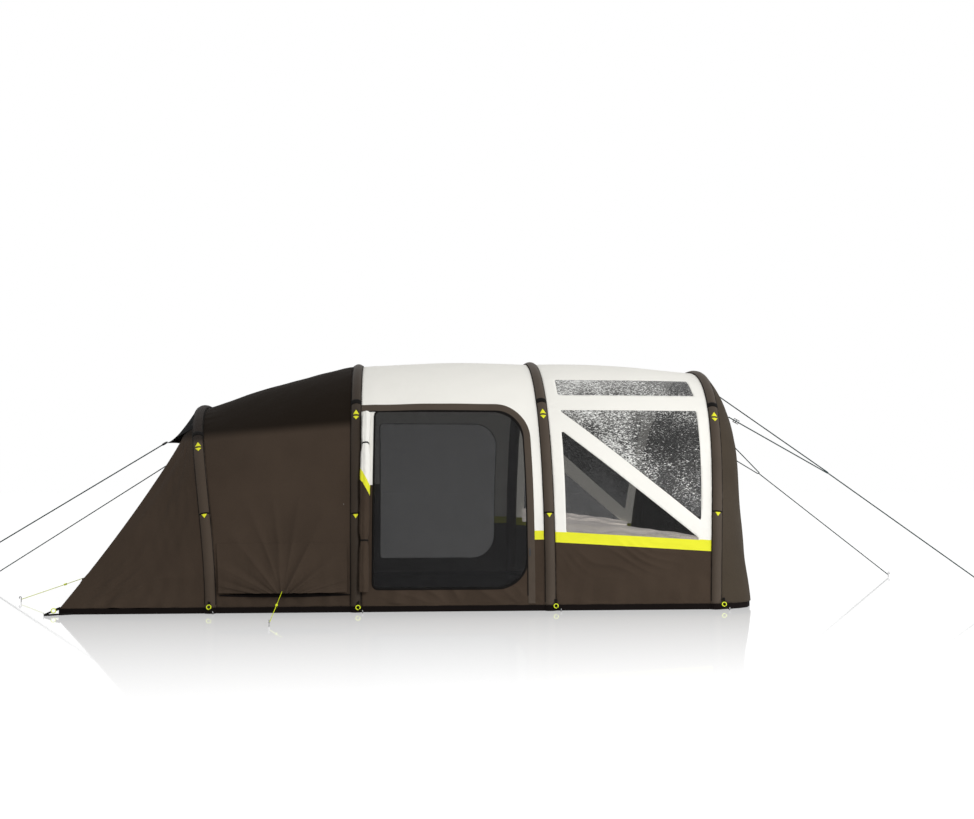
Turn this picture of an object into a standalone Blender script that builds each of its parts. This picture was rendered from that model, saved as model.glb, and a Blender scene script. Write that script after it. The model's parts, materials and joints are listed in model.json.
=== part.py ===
# Inflatable tunnel tent: four air beams in sleeves carry a sewn fly with a bedroom end,
# a door bay with a mesh door on each side, a window bay and a closed front.
# Metres. X runs from the bedroom end to the front, Y across, Z up from the ground.
from math import atan2, cos, pi, radians, sin, sqrt

import bmesh
import bpy
import numpy as np
from mathutils import Matrix, Vector

# Main sizes
BASE_HALF_WIDTH = 1.65
SECTION_POWER = 2.2
LEAN_POWER = 1.7
REAR_X = -2.67
FRONT_X = 2.766
FOOT_Z = 0.045
FABRIC = 0.002
GAP = 0.0003

# Air beams: where the feet and the crown stand along the tent, and the crown's centre height
BEAMS = {
    "rear": {"foot_x": -1.535, "crown_x": -1.84, "crown_z": 1.64},
    "bedroom": {"foot_x": -0.427, "crown_x": -0.465, "crown_z": 2.02},
    "door": {"foot_x": 1.09, "crown_x": 1.09, "crown_z": 2.05},
    "front": {"foot_x": 2.41, "crown_x": 2.62, "crown_z": 1.98},
}
SLEEVE_RADIUS = 0.052
SLEEVE_WALL = 0.0015
STATIONS = 22
WALL_STATIONS = 7
TUBE_SIDES = 12

# Inflation valves, one on each beam, on the inner side of the near leg
VALVE_STATION = 1
VALVE_FLANGE_RADIUS = 0.022
VALVE_BARREL_RADIUS = 0.014
VALVE_FLANGE_RISE = 0.004
VALVE_BARREL_RISE = 0.018
CAP_RADIUS = 0.017
CAP_HEIGHT = 0.008
CAP_STRAP_WIDTH = 0.008

# Fly panels
PANEL_RISE = 0.024
PANEL_COLUMNS = 4
REAR_STATIONS = 7
VISOR_TIP_X = -2.06
VISOR_TIP_Z = 1.33
VISOR_TIP_HALF = 0.75
VISOR_ARCH = 0.015
REAR_WALL_SHARE = 0.25
HIP_HOLLOW = 0.04
REAR_WALL_BULGE = 0.02
HIP_SETBACK = 0.0018
FRONT_EDGE_POWER = 18
FRONT_EDGE_EASE = 13
FRONT_EASE_TOP = 1.45
FRONT_RINGS = (1.0, 0.985, 0.96, 0.92, 0.85, 0.75)

# Openings, as X and Z seen from the side
DOOR_LEFT = -0.30
DOOR_RIGHT = 0.912
DOOR_SILL = 0.18
DOOR_HEAD = 1.585
DOOR_CORNER = 0.24
DOOR_SMALL_CORNER = 0.04
DOOR_CORNER_STEPS = 6
DOOR_LAP = 0.012
DOOR_HINGE_LAP = 0.008
WINDOW_LEFT = 1.232
WINDOW_RIGHT = 2.401
WINDOW_HEAD = 1.60
WINDOW_RIGHT_SILL = 0.697
NET_HEAD = 1.426
NET_SILL_LEFT = 0.610
NET_SILL_RIGHT = 0.544
NET_RIGHT = 2.305
WINDOW_SLANT = 0.09
NET_LEAN = 0.010
PANE_CORNER = 0.006
SKYLIGHT_LEFT = 1.240
SKYLIGHT_RIGHT = 2.424
SKYLIGHT_ABOVE_SEAM = 0.010
SKYLIGHT_TALL = 0.135
FRONT_DOOR_HALF = 0.42
FRONT_DOOR_SILL = 0.10
FRONT_DOOR_HEAD = 1.42
FRONT_DOOR_CORNER = 0.22

# Rolled door panels, zip sliders and vent hoods
ROLL_X = -0.353
ROLL_RADIUS = 0.040
ROLL_LOW = 0.16
ROLL_HIGH = 1.60
ROLL_TIE_HEIGHTS = (0.545, 1.287)
ROLL_TIE_PINCH = 0.16
ROLL_TIE_REACH = 0.06
ROLL_STEPS = 3
ROLL_END_CLEAR = 0.15
ROLL_SIDES = 10
SLIDER_X = 0.932
SLIDER_Z = 0.47
SLIDER_WIDTH = 0.012
SLIDER_LENGTH = 0.026
SLIDER_DEPTH = 0.007
PULL_LENGTH = 0.045
PULL_THICKNESS = 0.002
VENT_SEAM_Z = 0.53
VENT_HEM_Z = 0.155
VENT_FLARE = 0.03
VENT_PULL = 0.06
VENT_SIDE_CLEAR = 0.026
VENT_ROWS = 6
REAR_VENT_HALF = 0.42
REAR_VENT_CENTRE = 0.85
REAR_VENT_SEAM_Z = 0.42
REAR_VENT_HEM_Z = 0.17
REAR_VENT_PULL = 0.085
REAR_VENT_FLARE = 0.012

# Bedroom divider
DIVIDER_X = -0.53
DIVIDER_DOOR_HALF = 0.55
DIVIDER_DOOR_SILL = 0.12
DIVIDER_DOOR_HEAD = 1.50
DIVIDER_DOOR_CORNER = 0.30

# Groundsheet with its upturned edge and the foot pads of the beams
SHEET_THICKNESS = 0.004
EDGE_THICKNESS = 0.004
PAD_RADIUS = 0.055

# Guy ropes and their pegs
STORM_ROPE_RADIUS = 0.005
GUY_RADIUS = 0.0025
ROPE_POINTS = 8
PEG_RADIUS = 0.0035
PEG_HEIGHT = 0.045
PEG_HOOK = 0.016
PEG_LEAN = 0.15
FRONT_ANCHOR_RING = 3
UPPER_ANCHOR_STATION = 9
LOWER_ANCHOR_STATION = 7
REAR_PEG = (-4.14, 1.0)
FRONT_PEG = (5.015, 1.2)
FRONT_JUNCTION = (3.57, 0.99, 1.085)
JUNCTION_LOOP = 0.016
HEM_INSET = 0.012
SIDE_PEG = (-1.00, -2.50)
REAR_VENT_PEG = (-3.244, -0.72)
TENSIONER_RADIUS = 0.009
TENSIONER_LENGTH = 0.024
SIDE_TENSIONER_SHARE = 0.45
REAR_TENSIONER_SHARE = 0.33

# How far cutters reach past what they cut
CUT_NEAR = 0.3
CUT_FAR = 2.3
CUT_MARGIN = 0.1

# The seams of the fly panels lie this far out to the side and above a sleeve's centre line
SPREAD = SLEEVE_RADIUS * cos(pi / 6)
LIFT = SLEEVE_RADIUS * sin(pi / 6)
EDGE_CLEAR = GAP + 0.5 * FABRIC


def clear_scene():
    for obj in list(bpy.data.objects):
        bpy.data.objects.remove(obj, do_unlink=True)


def material(name, colour, roughness, metallic=0.0, alpha=1.0):
    made = bpy.data.materials.get(name)
    if made:
        return made
    made = bpy.data.materials.new(name)
    made.use_nodes = True
    shader = made.node_tree.nodes["Principled BSDF"]
    shader.inputs["Base Color"].default_value = (*colour, 1.0)
    shader.inputs["Roughness"].default_value = roughness
    shader.inputs["Metallic"].default_value = metallic
    shader.inputs["Alpha"].default_value = alpha
    made.diffuse_color = (*colour, alpha)
    return made


def brown_fabric():
    return material("brown_fabric", (0.065, 0.045, 0.034), 0.75)


def white_fabric():
    return material("white_fabric", (0.88, 0.87, 0.83), 0.7)


def black_fabric():
    return material("black_fabric", (0.008, 0.007, 0.007), 0.6)


def divider_fabric():
    return material("divider_fabric", (0.36, 0.35, 0.33), 0.8)


def bladder_film():
    return material("bladder_film", (0.35, 0.36, 0.38), 0.35)


def clear_film():
    return material("clear_film", (0.6, 0.65, 0.7), 0.08, alpha=0.4)


def insect_mesh():
    return material("insect_mesh", (0.03, 0.03, 0.032), 0.8, alpha=0.8)


def neon_cord():
    return material("neon_cord", (0.75, 0.88, 0.01), 0.6)


def black_cord():
    return material("black_cord", (0.02, 0.02, 0.022), 0.7)


def black_plastic():
    return material("black_plastic", (0.015, 0.015, 0.015), 0.4)


def steel():
    return material("steel", (0.45, 0.45, 0.46), 0.35, metallic=1.0)


def unit(vectors):
    vectors = np.asarray(vectors, float)
    return vectors / np.linalg.norm(vectors, axis=-1, keepdims=True)


def flipped(points):
    """The same points on the other side of the tent."""
    return np.asarray(points, float) * (1, -1, 1)


def mesh_object(name, points, faces, surface, origin=(0, 0, 0), smooth=True):
    mesh = bpy.data.meshes.new(name)
    mesh.from_pydata([tuple(p) for p in np.asarray(points, float) - origin], [], faces)
    work = bmesh.new()
    work.from_mesh(mesh)
    bmesh.ops.recalc_face_normals(work, faces=work.faces)
    work.to_mesh(mesh)
    work.free()
    mesh.materials.append(surface)
    if smooth:
        mesh.shade_smooth()
        mesh.set_sharp_from_angle(angle=radians(35))
    obj = bpy.data.objects.new(name, mesh)
    obj.location = origin
    bpy.context.scene.collection.objects.link(obj)
    return obj


def helper(obj):
    obj.hide_render = True
    obj.display_type = "WIRE"
    return obj


def apply_boolean(obj, other, operation):
    modifier = obj.modifiers.new(operation.title(), "BOOLEAN")
    modifier.operation = operation
    modifier.solver = "EXACT"
    modifier.object = helper(other)


def prism(name, loop, sweep, surface):
    """A closed solid: a flat loop of points carried along a vector."""
    loop = np.asarray(loop, float)
    count = len(loop)
    points = np.vstack([loop, loop + np.asarray(sweep, float)])
    faces = [list(range(count))[::-1], list(range(count, 2 * count))]
    for i in range(count):
        j = (i + 1) % count
        faces.append([i, j, count + j, count + i])
    return mesh_object(name, points, faces, surface, smooth=False)


def grid_normals(grid, outside):
    """Unit normals of a grid of points, on the side that the point 'outside' lies.
    They are level along the ground edge, so that a sheet ends at one height there."""
    along = np.gradient(grid, axis=0)
    across = np.gradient(grid, axis=1)
    normals = unit(np.cross(along, across))
    middle = tuple(n // 2 for n in grid.shape[:2])
    if np.dot(normals[middle], np.asarray(outside) - grid[middle]) < 0:
        normals = -normals
    normals[np.abs(grid[..., 2] - FOOT_Z) < GAP / 2, 2] = 0
    return unit(normals)


def sheet_points(grid, normals, thickness):
    """Points and faces of a closed sheet round a grid, half its thickness on each side.
    Each square of the grid is split along the same diagonal on both sides."""
    rows, columns = grid.shape[:2]
    outer = (grid + normals * thickness / 2).reshape(-1, 3)
    inner = (grid - normals * thickness / 2).reshape(-1, 3)
    size = rows * columns
    faces = []
    for i in range(rows - 1):
        for j in range(columns - 1):
            a, b = i * columns + j, i * columns + j + 1
            c, d = a + columns, b + columns
            faces += [[a, b, d], [a, d, c]]
            faces += [[size + a, size + d, size + b], [size + a, size + c, size + d]]
    border = [j for j in range(columns)]
    border += [i * columns + columns - 1 for i in range(1, rows)]
    border += [(rows - 1) * columns + j for j in range(columns - 2, -1, -1)]
    border += [i * columns for i in range(rows - 2, 0, -1)]
    for a, b in zip(border, border[1:] + border[:1]):
        faces.append([a, b, size + b, size + a])
    return np.vstack([outer, inner]), faces


def sheet(name, grid, outside, surface, thickness=FABRIC, offset=0.0, origin=(0, 0, 0)):
    normals = grid_normals(grid, outside)
    points, faces = sheet_points(grid + normals * offset, normals, thickness)
    return mesh_object(name, points, faces, surface, origin)


def rounded_loop(corners, radii, steps=5):
    """A flat outline in two coordinates: its corners, anticlockwise, each rounded by its radius."""
    loop = []
    count = len(corners)
    for i, radius in enumerate(radii):
        corner = np.asarray(corners[i], float)
        before = unit(np.asarray(corners[i - 1], float) - corner)
        after = unit(np.asarray(corners[(i + 1) % count], float) - corner)
        half = np.arccos(np.clip(before @ after, -1, 1)) / 2
        centre = corner + unit(before + after) * radius / sin(half)
        first = corner + before * radius / np.tan(half) - centre
        last = corner + after * radius / np.tan(half) - centre
        start = atan2(first[1], first[0])
        turn = (atan2(last[1], last[0]) - start + pi) % (2 * pi) - pi
        for k in range(steps + 1):
            angle = start + turn * k / steps
            loop.append(centre + radius * np.array([cos(angle), sin(angle)]))
    return np.array(loop)


def inset(corners, distance):
    """The corners of a convex anticlockwise outline with every side moved in by a distance."""
    corners = np.asarray(corners, float)
    sides = unit(np.roll(corners, -1, axis=0) - corners)
    inward = np.stack([-sides[:, 1], sides[:, 0]], axis=1)
    moved = []
    for i in range(len(corners)):
        rows = np.array([inward[i - 1], inward[i]])
        target = [rows[0] @ corners[i] + distance, rows[1] @ corners[i] + distance]
        moved.append(np.linalg.solve(rows, target))
    return np.array(moved)


def side_prism(name, outline, side):
    """A cutter through one side of the tent: an X, Z outline carried along Y."""
    loop = np.stack([outline[:, 0], np.full(len(outline), side * CUT_NEAR), outline[:, 1]], axis=1)
    return prism(name, loop, (0, side * (CUT_FAR - CUT_NEAR), 0), black_fabric())


def arch(beam):
    """Centre line of a beam: equal steps along a superellipse that leans with its height."""
    size = BEAMS[beam]
    angle = np.linspace(0, pi, 2001)
    power = 2 / SECTION_POWER
    y = -BASE_HALF_WIDTH * np.sign(np.cos(angle)) * np.abs(np.cos(angle)) ** power
    rise = np.sin(angle).clip(0) ** power
    z = FOOT_Z + (size["crown_z"] - FOOT_Z) * rise
    x = size["foot_x"] + (size["crown_x"] - size["foot_x"]) * rise**LEAN_POWER
    line = np.stack([x, y, z], axis=1)
    length = np.concatenate([[0], np.cumsum(np.linalg.norm(np.diff(line, axis=0), axis=1))])
    wanted = np.linspace(0, length[-1], STATIONS + 1)
    return np.stack([np.interp(wanted, length, line[:, i]) for i in range(3)], axis=1)


def arch_frames(beam):
    """Centre points of a beam with its tangents, outward normals and crosswise directions."""
    centre = arch(beam)
    tangent = unit(np.gradient(centre, axis=0))
    outward = unit(np.cross((1, 0, 0), tangent))
    across = np.cross(tangent, outward)
    return centre, tangent, outward, across


def to_ground(points, tangent, index):
    """The end rings are cut level: points slide along the beam to the height of its feet."""
    if index in (0, STATIONS):
        shift = (FOOT_Z - points[..., 2]) / tangent[2]
        points = points + shift[..., None] * tangent
    return points


def beam_rings(beam, radius):
    centre, tangent, outward, across = arch_frames(beam)
    angles = np.arange(TUBE_SIDES) * 2 * pi / TUBE_SIDES
    rings = []
    for k in range(STATIONS + 1):
        ring = centre[k] + radius * (
            np.cos(angles)[:, None] * across[k] + np.sin(angles)[:, None] * outward[k]
        )
        rings.append(to_ground(ring, tangent[k], k))
    return np.array(rings)


def tube_faces(rows, sides, start=0):
    """Triangles between rings of points, split along the same diagonal wherever tubes lie in each other."""
    faces = []
    for i in range(rows - 1):
        for j in range(sides):
            a, b = start + i * sides + j, start + i * sides + (j + 1) % sides
            faces += [[a, b, b + sides], [a, b + sides, a + sides]]
    return faces


def turned(name, base, axis, profile, surface, sides=16, origin=(0, 0, 0)):
    """A closed turned solid: (distance along the axis, radius) pairs from one end to the other."""
    axis = unit(axis)
    side = unit(np.cross(axis, (1, 0, 0) if abs(axis[0]) < 0.8 else (0, 1, 0)))
    other = np.cross(axis, side)
    angles = np.arange(sides) * 2 * pi / sides
    circle = np.cos(angles)[:, None] * side + np.sin(angles)[:, None] * other
    points = np.vstack([np.asarray(base) + axis * h + circle * r for h, r in profile])
    rows = len(profile)
    faces = tube_faces(rows, sides)
    faces.append(list(range(sides)))
    faces.append(list(range((rows - 1) * sides, rows * sides)))
    return mesh_object(name, points, faces, surface, origin)


def valve_frame(beam):
    """Where a beam's valve stands: its point on the centre line, inward axis, up and hinge line."""
    centre, tangent, outward, across = arch_frames(beam)
    k = VALVE_STATION
    return centre[k], -outward[k], tangent[k], across[k]


def make_bladder(beam):
    radius = SLEEVE_RADIUS - SLEEVE_WALL - GAP
    rings = beam_rings(beam, radius)
    rows = len(rings)
    faces = tube_faces(rows, TUBE_SIDES)
    faces.append(list(range(TUBE_SIDES)))
    faces.append(list(range((rows - 1) * TUBE_SIDES, rows * TUBE_SIDES)))
    name = beam + "_air_beam"
    bladder = mesh_object(name, rings.reshape(-1, 3), faces, bladder_film())
    point, axis, _, _ = valve_frame(beam)
    profile = (
        (radius * 0.6, VALVE_FLANGE_RADIUS),
        (SLEEVE_RADIUS + VALVE_FLANGE_RISE, VALVE_FLANGE_RADIUS),
        (SLEEVE_RADIUS + VALVE_FLANGE_RISE, VALVE_BARREL_RADIUS),
        (SLEEVE_RADIUS + VALVE_BARREL_RISE, VALVE_BARREL_RADIUS),
    )
    valve = turned(beam + "_valve_form", point, axis, profile, black_plastic())
    apply_boolean(bladder, valve, "UNION")


def make_sleeve(beam):
    outer = beam_rings(beam, SLEEVE_RADIUS)
    inner = beam_rings(beam, SLEEVE_RADIUS - SLEEVE_WALL)
    rows = len(outer)
    start = rows * TUBE_SIDES
    faces = tube_faces(rows, TUBE_SIDES) + tube_faces(rows, TUBE_SIDES, start)
    for first in (0, (rows - 1) * TUBE_SIDES):
        for j in range(TUBE_SIDES):
            a, b = first + j, first + (j + 1) % TUBE_SIDES
            faces.append([a, b, start + b, start + a])
    points = np.vstack([outer.reshape(-1, 3), inner.reshape(-1, 3)])
    sleeve = mesh_object(beam + "_beam_sleeve", points, faces, brown_fabric())
    point, axis, _, _ = valve_frame(beam)
    bore = ((SLEEVE_RADIUS * 0.5, VALVE_FLANGE_RADIUS + GAP), (2 * SLEEVE_RADIUS, VALVE_FLANGE_RADIUS + GAP))
    apply_boolean(sleeve, turned(beam + "_valve_bore", point, axis, bore, black_plastic()), "DIFFERENCE")


def make_valve_cap(beam):
    """A flat cap with a strap up to the hinge, just above the end of the valve's barrel."""
    point, axis, up, across = valve_frame(beam)
    seat = SLEEVE_RADIUS + VALVE_BARREL_RISE + GAP
    hinge_out = seat + CAP_HEIGHT / 2
    hinge = point + axis * hinge_out + up * (VALVE_FLANGE_RADIUS + CAP_STRAP_WIDTH / 2)
    profile = ((seat, CAP_RADIUS), (seat + CAP_HEIGHT * 0.75, CAP_RADIUS), (seat + CAP_HEIGHT, CAP_RADIUS * 0.85))
    cap = turned(beam + "_valve_cap", point, axis, profile, black_plastic(), origin=hinge)
    low, high = CAP_RADIUS * 0.7, VALVE_FLANGE_RADIUS + CAP_STRAP_WIDTH
    corners = [(low, -1), (low, 1), (high, 1), (high, -1)]
    loop = [
        point + axis * (seat + CAP_HEIGHT * 0.25) + up * h + across * s * CAP_STRAP_WIDTH / 2
        for h, s in corners
    ]
    strap = prism(beam + "_strap_form", loop, axis * CAP_HEIGHT * 0.5, black_plastic())
    apply_boolean(cap, strap, "UNION")


def beam_edge(beam, side):
    """The seam line on a sleeve where a fly panel begins: side 1 faces the front, -1 the bedroom."""
    centre, tangent, outward, across = arch_frames(beam)
    line = centre + side * (SPREAD + EDGE_CLEAR) * across + LIFT * outward
    ends = [to_ground(line[k][None], tangent[k], k)[0] for k in (0, STATIONS)]
    line[0], line[-1] = ends
    return line


def bay_grid(rear_beam, front_beam, first, last):
    """The middle surface of a bay between two beams, a little full halfway, from seam to seam."""
    share = np.linspace(0, 1, PANEL_COLUMNS + 1)[:, None, None]
    rear, front = beam_edge(rear_beam, 1), beam_edge(front_beam, -1)
    grid = rear * (1 - share) + front * share
    station = np.arange(STATIONS + 1)
    out = unit(np.cross((1, 0, 0), np.gradient(rear + front, axis=0)))
    rise = PANEL_RISE * 4 * share * (1 - share) * np.sin(pi * station / STATIONS)[None, :, None]
    grid = (grid + out * rise)[:, first : last + 1]
    if first > 0:
        grid[:, 0] += unit(grid[:, 1] - grid[:, 0]) * GAP / 2
    if last < STATIONS:
        grid[:, -1] += unit(grid[:, -2] - grid[:, -1]) * GAP / 2
    return grid


def wall_grid(rear_beam, front_beam, side):
    """A bay's side wall, from the ground up: side -1 is the near wall and 1 the far wall."""
    grid = bay_grid(rear_beam, front_beam, 0, WALL_STATIONS)
    return grid if side < 0 else flipped(grid)


def roof_grid(rear_beam, front_beam):
    return bay_grid(rear_beam, front_beam, WALL_STATIONS, STATIONS - WALL_STATIONS)


def outside_of(side):
    return (0.3, side * 9.0, 1.0)


def above():
    return (0.3, 0, 9.0)


def door_outline(lap, hinge_lap):
    """The doorway's outline, grown by a lap on three sides and by another on the hinge side."""
    left = DOOR_LEFT + lap - hinge_lap
    corners = [(left, DOOR_SILL), (DOOR_RIGHT, DOOR_SILL), (DOOR_RIGHT, DOOR_HEAD), (left, DOOR_HEAD)]
    radii = [DOOR_SMALL_CORNER, DOOR_CORNER, DOOR_CORNER, DOOR_SMALL_CORNER]
    return rounded_loop(inset(corners, -lap), [r + lap for r in radii], DOOR_CORNER_STEPS)


def window_corners():
    return [(WINDOW_RIGHT - WINDOW_SLANT, WINDOW_RIGHT_SILL), (WINDOW_RIGHT, WINDOW_HEAD), (WINDOW_LEFT, WINDOW_HEAD)]


def net_corners():
    return [(WINDOW_LEFT - NET_LEAN, NET_SILL_LEFT), (NET_RIGHT, NET_SILL_RIGHT), (WINDOW_LEFT, NET_HEAD)]


def skylight_corners(roof):
    """The skylight's corners: it stands a little above the seam where the roof begins."""
    low = roof[:, 0, 2].max() + SKYLIGHT_ABOVE_SEAM
    high = low + SKYLIGHT_TALL
    return [(SKYLIGHT_LEFT, low), (SKYLIGHT_RIGHT, low), (SKYLIGHT_RIGHT, high), (SKYLIGHT_LEFT, high)]


def make_bedroom_bay():
    for side, word in ((-1, "near"), (1, "far")):
        grid = wall_grid("rear", "bedroom", side)
        sheet(f"bedroom_wall_{word}", grid, outside_of(side), brown_fabric())
        anchor = make_side_vent(grid, side, word)
        if side < 0:
            make_guy("side_vent", anchor, SIDE_PEG, SIDE_TENSIONER_SHARE)
    sheet("bedroom_roof", roof_grid("rear", "bedroom"), above(), brown_fabric())


def make_side_vent(grid, side, word):
    """The hood over a side vent: sewn along its top, flared at the hem and drawn out in the middle.
    Returns the middle of its hem and the outward normal there."""
    normals = grid_normals(grid, outside_of(side))
    heights = grid[..., 2]
    rows = np.linspace(VENT_SEAM_Z, VENT_HEM_Z, VENT_ROWS)
    columns = len(grid)
    share = np.linspace(0, 1, columns)
    hood = np.zeros((columns, len(rows), 3))
    for i in range(columns):
        place = np.stack([np.interp(rows, heights[i], grid[i, :, a]) for a in range(3)], axis=1)
        lean = np.stack([np.interp(rows, heights[i], normals[i, :, a]) for a in range(3)], axis=1)
        drop = np.linspace(0, 1, len(rows))
        out = FABRIC + 2 * GAP + VENT_FLARE * drop + VENT_PULL * drop**1.6 * sin(pi * share[i]) ** 1.5
        hood[i] = place + unit(lean) * out[:, None]
    for end, beside in ((0, 1), (-1, -2)):
        step = hood[beside] - hood[end]
        hood[end] += step * VENT_SIDE_CLEAR / np.abs(step[:, :1])
    sheet(f"side_vent_hood_{word}", hood, outside_of(side), brown_fabric())
    return hem_anchor(hood, outside_of(side))


def hem_anchor(hood, outside):
    """A guy's place just above the middle of a hood's hem, and the outward normal there."""
    middle = len(hood) // 2
    hem, above_it = hood[middle, -1], hood[middle, -2]
    return hem + unit(above_it - hem) * HEM_INSET, grid_normals(hood, outside)[middle, -1]


def make_door_bay():
    for side, word in ((-1, "near"), (1, "far")):
        grid = wall_grid("bedroom", "door", side)
        wall = sheet(f"door_wall_{word}", grid, outside_of(side), white_fabric())
        apply_boolean(wall, side_prism(f"door_cut_{word}", door_outline(0, 0), side), "DIFFERENCE")
        make_mesh_door(grid, side, word)
        make_rolled_door(grid, side, word)
        make_zip_slider(grid, side, word)
    sheet("door_roof", roof_grid("bedroom", "door"), above(), white_fabric())


def wall_point(grid, side, x, z):
    """The point of a wall's middle surface at a place seen from the side, and its outward normal."""
    normals = grid_normals(grid, outside_of(side))
    lines, leans = [], []
    for i in range(len(grid)):
        lines.append([np.interp(z, grid[i, :, 2], grid[i, :, a]) for a in range(3)])
        leans.append([np.interp(z, grid[i, :, 2], normals[i, :, a]) for a in range(3)])
    lines, leans = np.array(lines), np.array(leans)
    point = np.array([np.interp(x, lines[:, 0], lines[:, a]) for a in range(3)])
    lean = np.array([np.interp(x, lines[:, 0], leans[:, a]) for a in range(3)])
    return point, unit(lean)


def door_hinge(grid, side):
    """The hinge line of a mesh door: the chord of its seam, moved out to the seam's fullest point."""
    heights = np.linspace(DOOR_SILL, DOOR_HEAD, 9)
    seam = np.array([wall_point(grid, side, DOOR_LEFT, z)[0] for z in heights])
    along = unit(seam[-1] - seam[0])
    out = unit(np.cross(along, (1, 0, 0)))
    if out[1] * side < 0:
        out = -out
    proud = max((seam - seam[0]) @ out) + 2 * FABRIC
    foot = seam[0] + out * proud
    return np.array([DOOR_LEFT - DOOR_HINGE_LAP, foot[1], foot[2]])


def make_mesh_door(grid, side, word):
    hinge = door_hinge(grid, side)
    leaf = sheet(
        f"mesh_door_{word}", grid, outside_of(side), insect_mesh(), offset=FABRIC + GAP, origin=hinge
    )
    form = side_prism(f"mesh_door_form_{word}", door_outline(DOOR_LAP, DOOR_HINGE_LAP), side)
    apply_boolean(leaf, form, "INTERSECT")


def make_rolled_door(grid, side, word):
    """The outer door panel rolled up along its hinge side, drawn in where two ties hold it.
    Its rows stand at the heights where the wall bends, and evenly between these."""
    knots = grid[0, :, 2]
    stations = np.arange(len(knots))
    low, high = np.interp([ROLL_LOW, ROLL_HIGH], knots, stations)
    between = np.arange(0, len(knots), 1 / ROLL_STEPS)
    between = between[(between > low + ROLL_END_CLEAR) & (between < high - ROLL_END_CLEAR)]
    heights = np.interp(np.concatenate([[low], between, [high]]), stations, knots)
    rows, sides = len(heights), ROLL_SIDES
    line, outs, radii = [], [], []
    for z in heights:
        point, out = wall_point(grid, side, ROLL_X, z)
        reach = [np.exp(-(((z - tie) / ROLL_TIE_REACH) ** 2)) for tie in ROLL_TIE_HEIGHTS]
        pinch = ROLL_TIE_PINCH * sum(reach)
        radius = ROLL_RADIUS * (1 - pinch)
        line.append(point + out * (ROLL_RADIUS + FABRIC / 2 + 2 * GAP))
        outs.append(out)
        radii.append(radius)
    line, outs = np.array(line), np.array(outs)
    along = unit(np.gradient(line, axis=0))
    outs = unit(outs - along * np.sum(outs * along, axis=1, keepdims=True))
    cross = np.cross(along, outs)
    angles = np.arange(sides) * 2 * pi / sides - pi / 2
    rings = (
        line[:, None]
        + np.array(radii)[:, None, None] * np.cos(angles)[None, :, None] * cross[:, None]
        + np.array(radii)[:, None, None] * np.sin(angles)[None, :, None] * outs[:, None]
    )
    faces = tube_faces(rows, sides)
    faces.append(list(range(sides)))
    faces.append(list(range((rows - 1) * sides, rows * sides)))
    mesh_object(f"rolled_door_{word}", rings.reshape(-1, 3), faces, white_fabric())


def make_zip_slider(grid, side, word):
    """A zip slider with its hanging pull, on the zip beside the door."""
    point, out = wall_point(grid, side, SLIDER_X, SLIDER_Z)
    above_it, _ = wall_point(grid, side, SLIDER_X, SLIDER_Z + 0.02)
    up = unit(above_it - point)
    out = unit(out - up * (out @ up))
    base = point + out * (FABRIC / 2 + GAP)
    half = SLIDER_LENGTH / 2
    profile = [
        (half, 0),
        (half, SLIDER_DEPTH * 0.6),
        (half * 0.5, SLIDER_DEPTH),
        (-half * 0.6, SLIDER_DEPTH),
        (-PULL_LENGTH, SLIDER_DEPTH * 0.8),
        (-PULL_LENGTH, SLIDER_DEPTH * 0.8 - PULL_THICKNESS),
        (-half, SLIDER_DEPTH * 0.9 - PULL_THICKNESS),
        (-half, 0),
    ]
    across = np.cross(up, out)
    loop = [base + up * h + out * d - across * SLIDER_WIDTH / 2 for h, d in profile]
    prism(f"zip_slider_{word}", loop, across * SLIDER_WIDTH, black_plastic())


def make_window_bay():
    for side, word in ((-1, "near"), (1, "far")):
        grid = wall_grid("door", "front", side)
        wall = sheet(f"window_wall_{word}", grid, outside_of(side), white_fabric())
        panes = (("clear_window", window_corners(), clear_film()), ("mesh_window", net_corners(), insect_mesh()))
        for kind, corners, surface in panes:
            hole = rounded_loop(corners, [PANE_CORNER] * len(corners), 3)
            apply_boolean(wall, side_prism(f"{kind}_cut_{word}", hole, side), "DIFFERENCE")
            pane = sheet(f"{kind}_{word}", grid, outside_of(side), surface)
            outline = rounded_loop(inset(corners, GAP), [PANE_CORNER - GAP] * len(corners), 3)
            apply_boolean(pane, side_prism(f"{kind}_form_{word}", outline, side), "INTERSECT")
    grid = roof_grid("door", "front")
    roof = sheet("window_roof", grid, above(), white_fabric())
    corners = skylight_corners(grid)
    for side, word in ((-1, "near"), (1, "far")):
        hole = rounded_loop(corners, [PANE_CORNER] * len(corners), 3)
        apply_boolean(roof, side_prism(f"skylight_cut_{word}", hole, side), "DIFFERENCE")
        pane = sheet(f"skylight_{word}", grid, above(), clear_film())
        outline = rounded_loop(inset(corners, GAP), [PANE_CORNER - GAP] * len(corners), 3)
        apply_boolean(pane, side_prism(f"skylight_form_{word}", outline, side), "INTERSECT")


def visor_grid():
    """The hood behind the rear beam: from its sleeve down to a lightly arched tip line."""
    edge = beam_edge("rear", -1)[REAR_STATIONS : STATIONS - REAR_STATIONS + 1]
    across = np.linspace(-1, 1, len(edge))
    tip = np.stack(
        [
            np.full(len(edge), VISOR_TIP_X),
            across * VISOR_TIP_HALF,
            VISOR_TIP_Z + VISOR_ARCH * (1 - across**2),
        ],
        axis=1,
    )
    share = np.linspace(0, 1, 5)[:, None, None]
    return edge * (1 - share) + tip * share


def rear_eaves():
    """The line under the visor where the rear wall ends, from the near to the far side."""
    grid = visor_grid()
    normals = grid_normals(grid, (-3, 0, 4))
    inner = grid - normals * (2.5 * FABRIC + GAP)
    place = REAR_WALL_SHARE * (len(grid) - 1)
    low = int(place)
    return inner[low] * (1 - place + low) + inner[low + 1] * (place - low)


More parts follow.
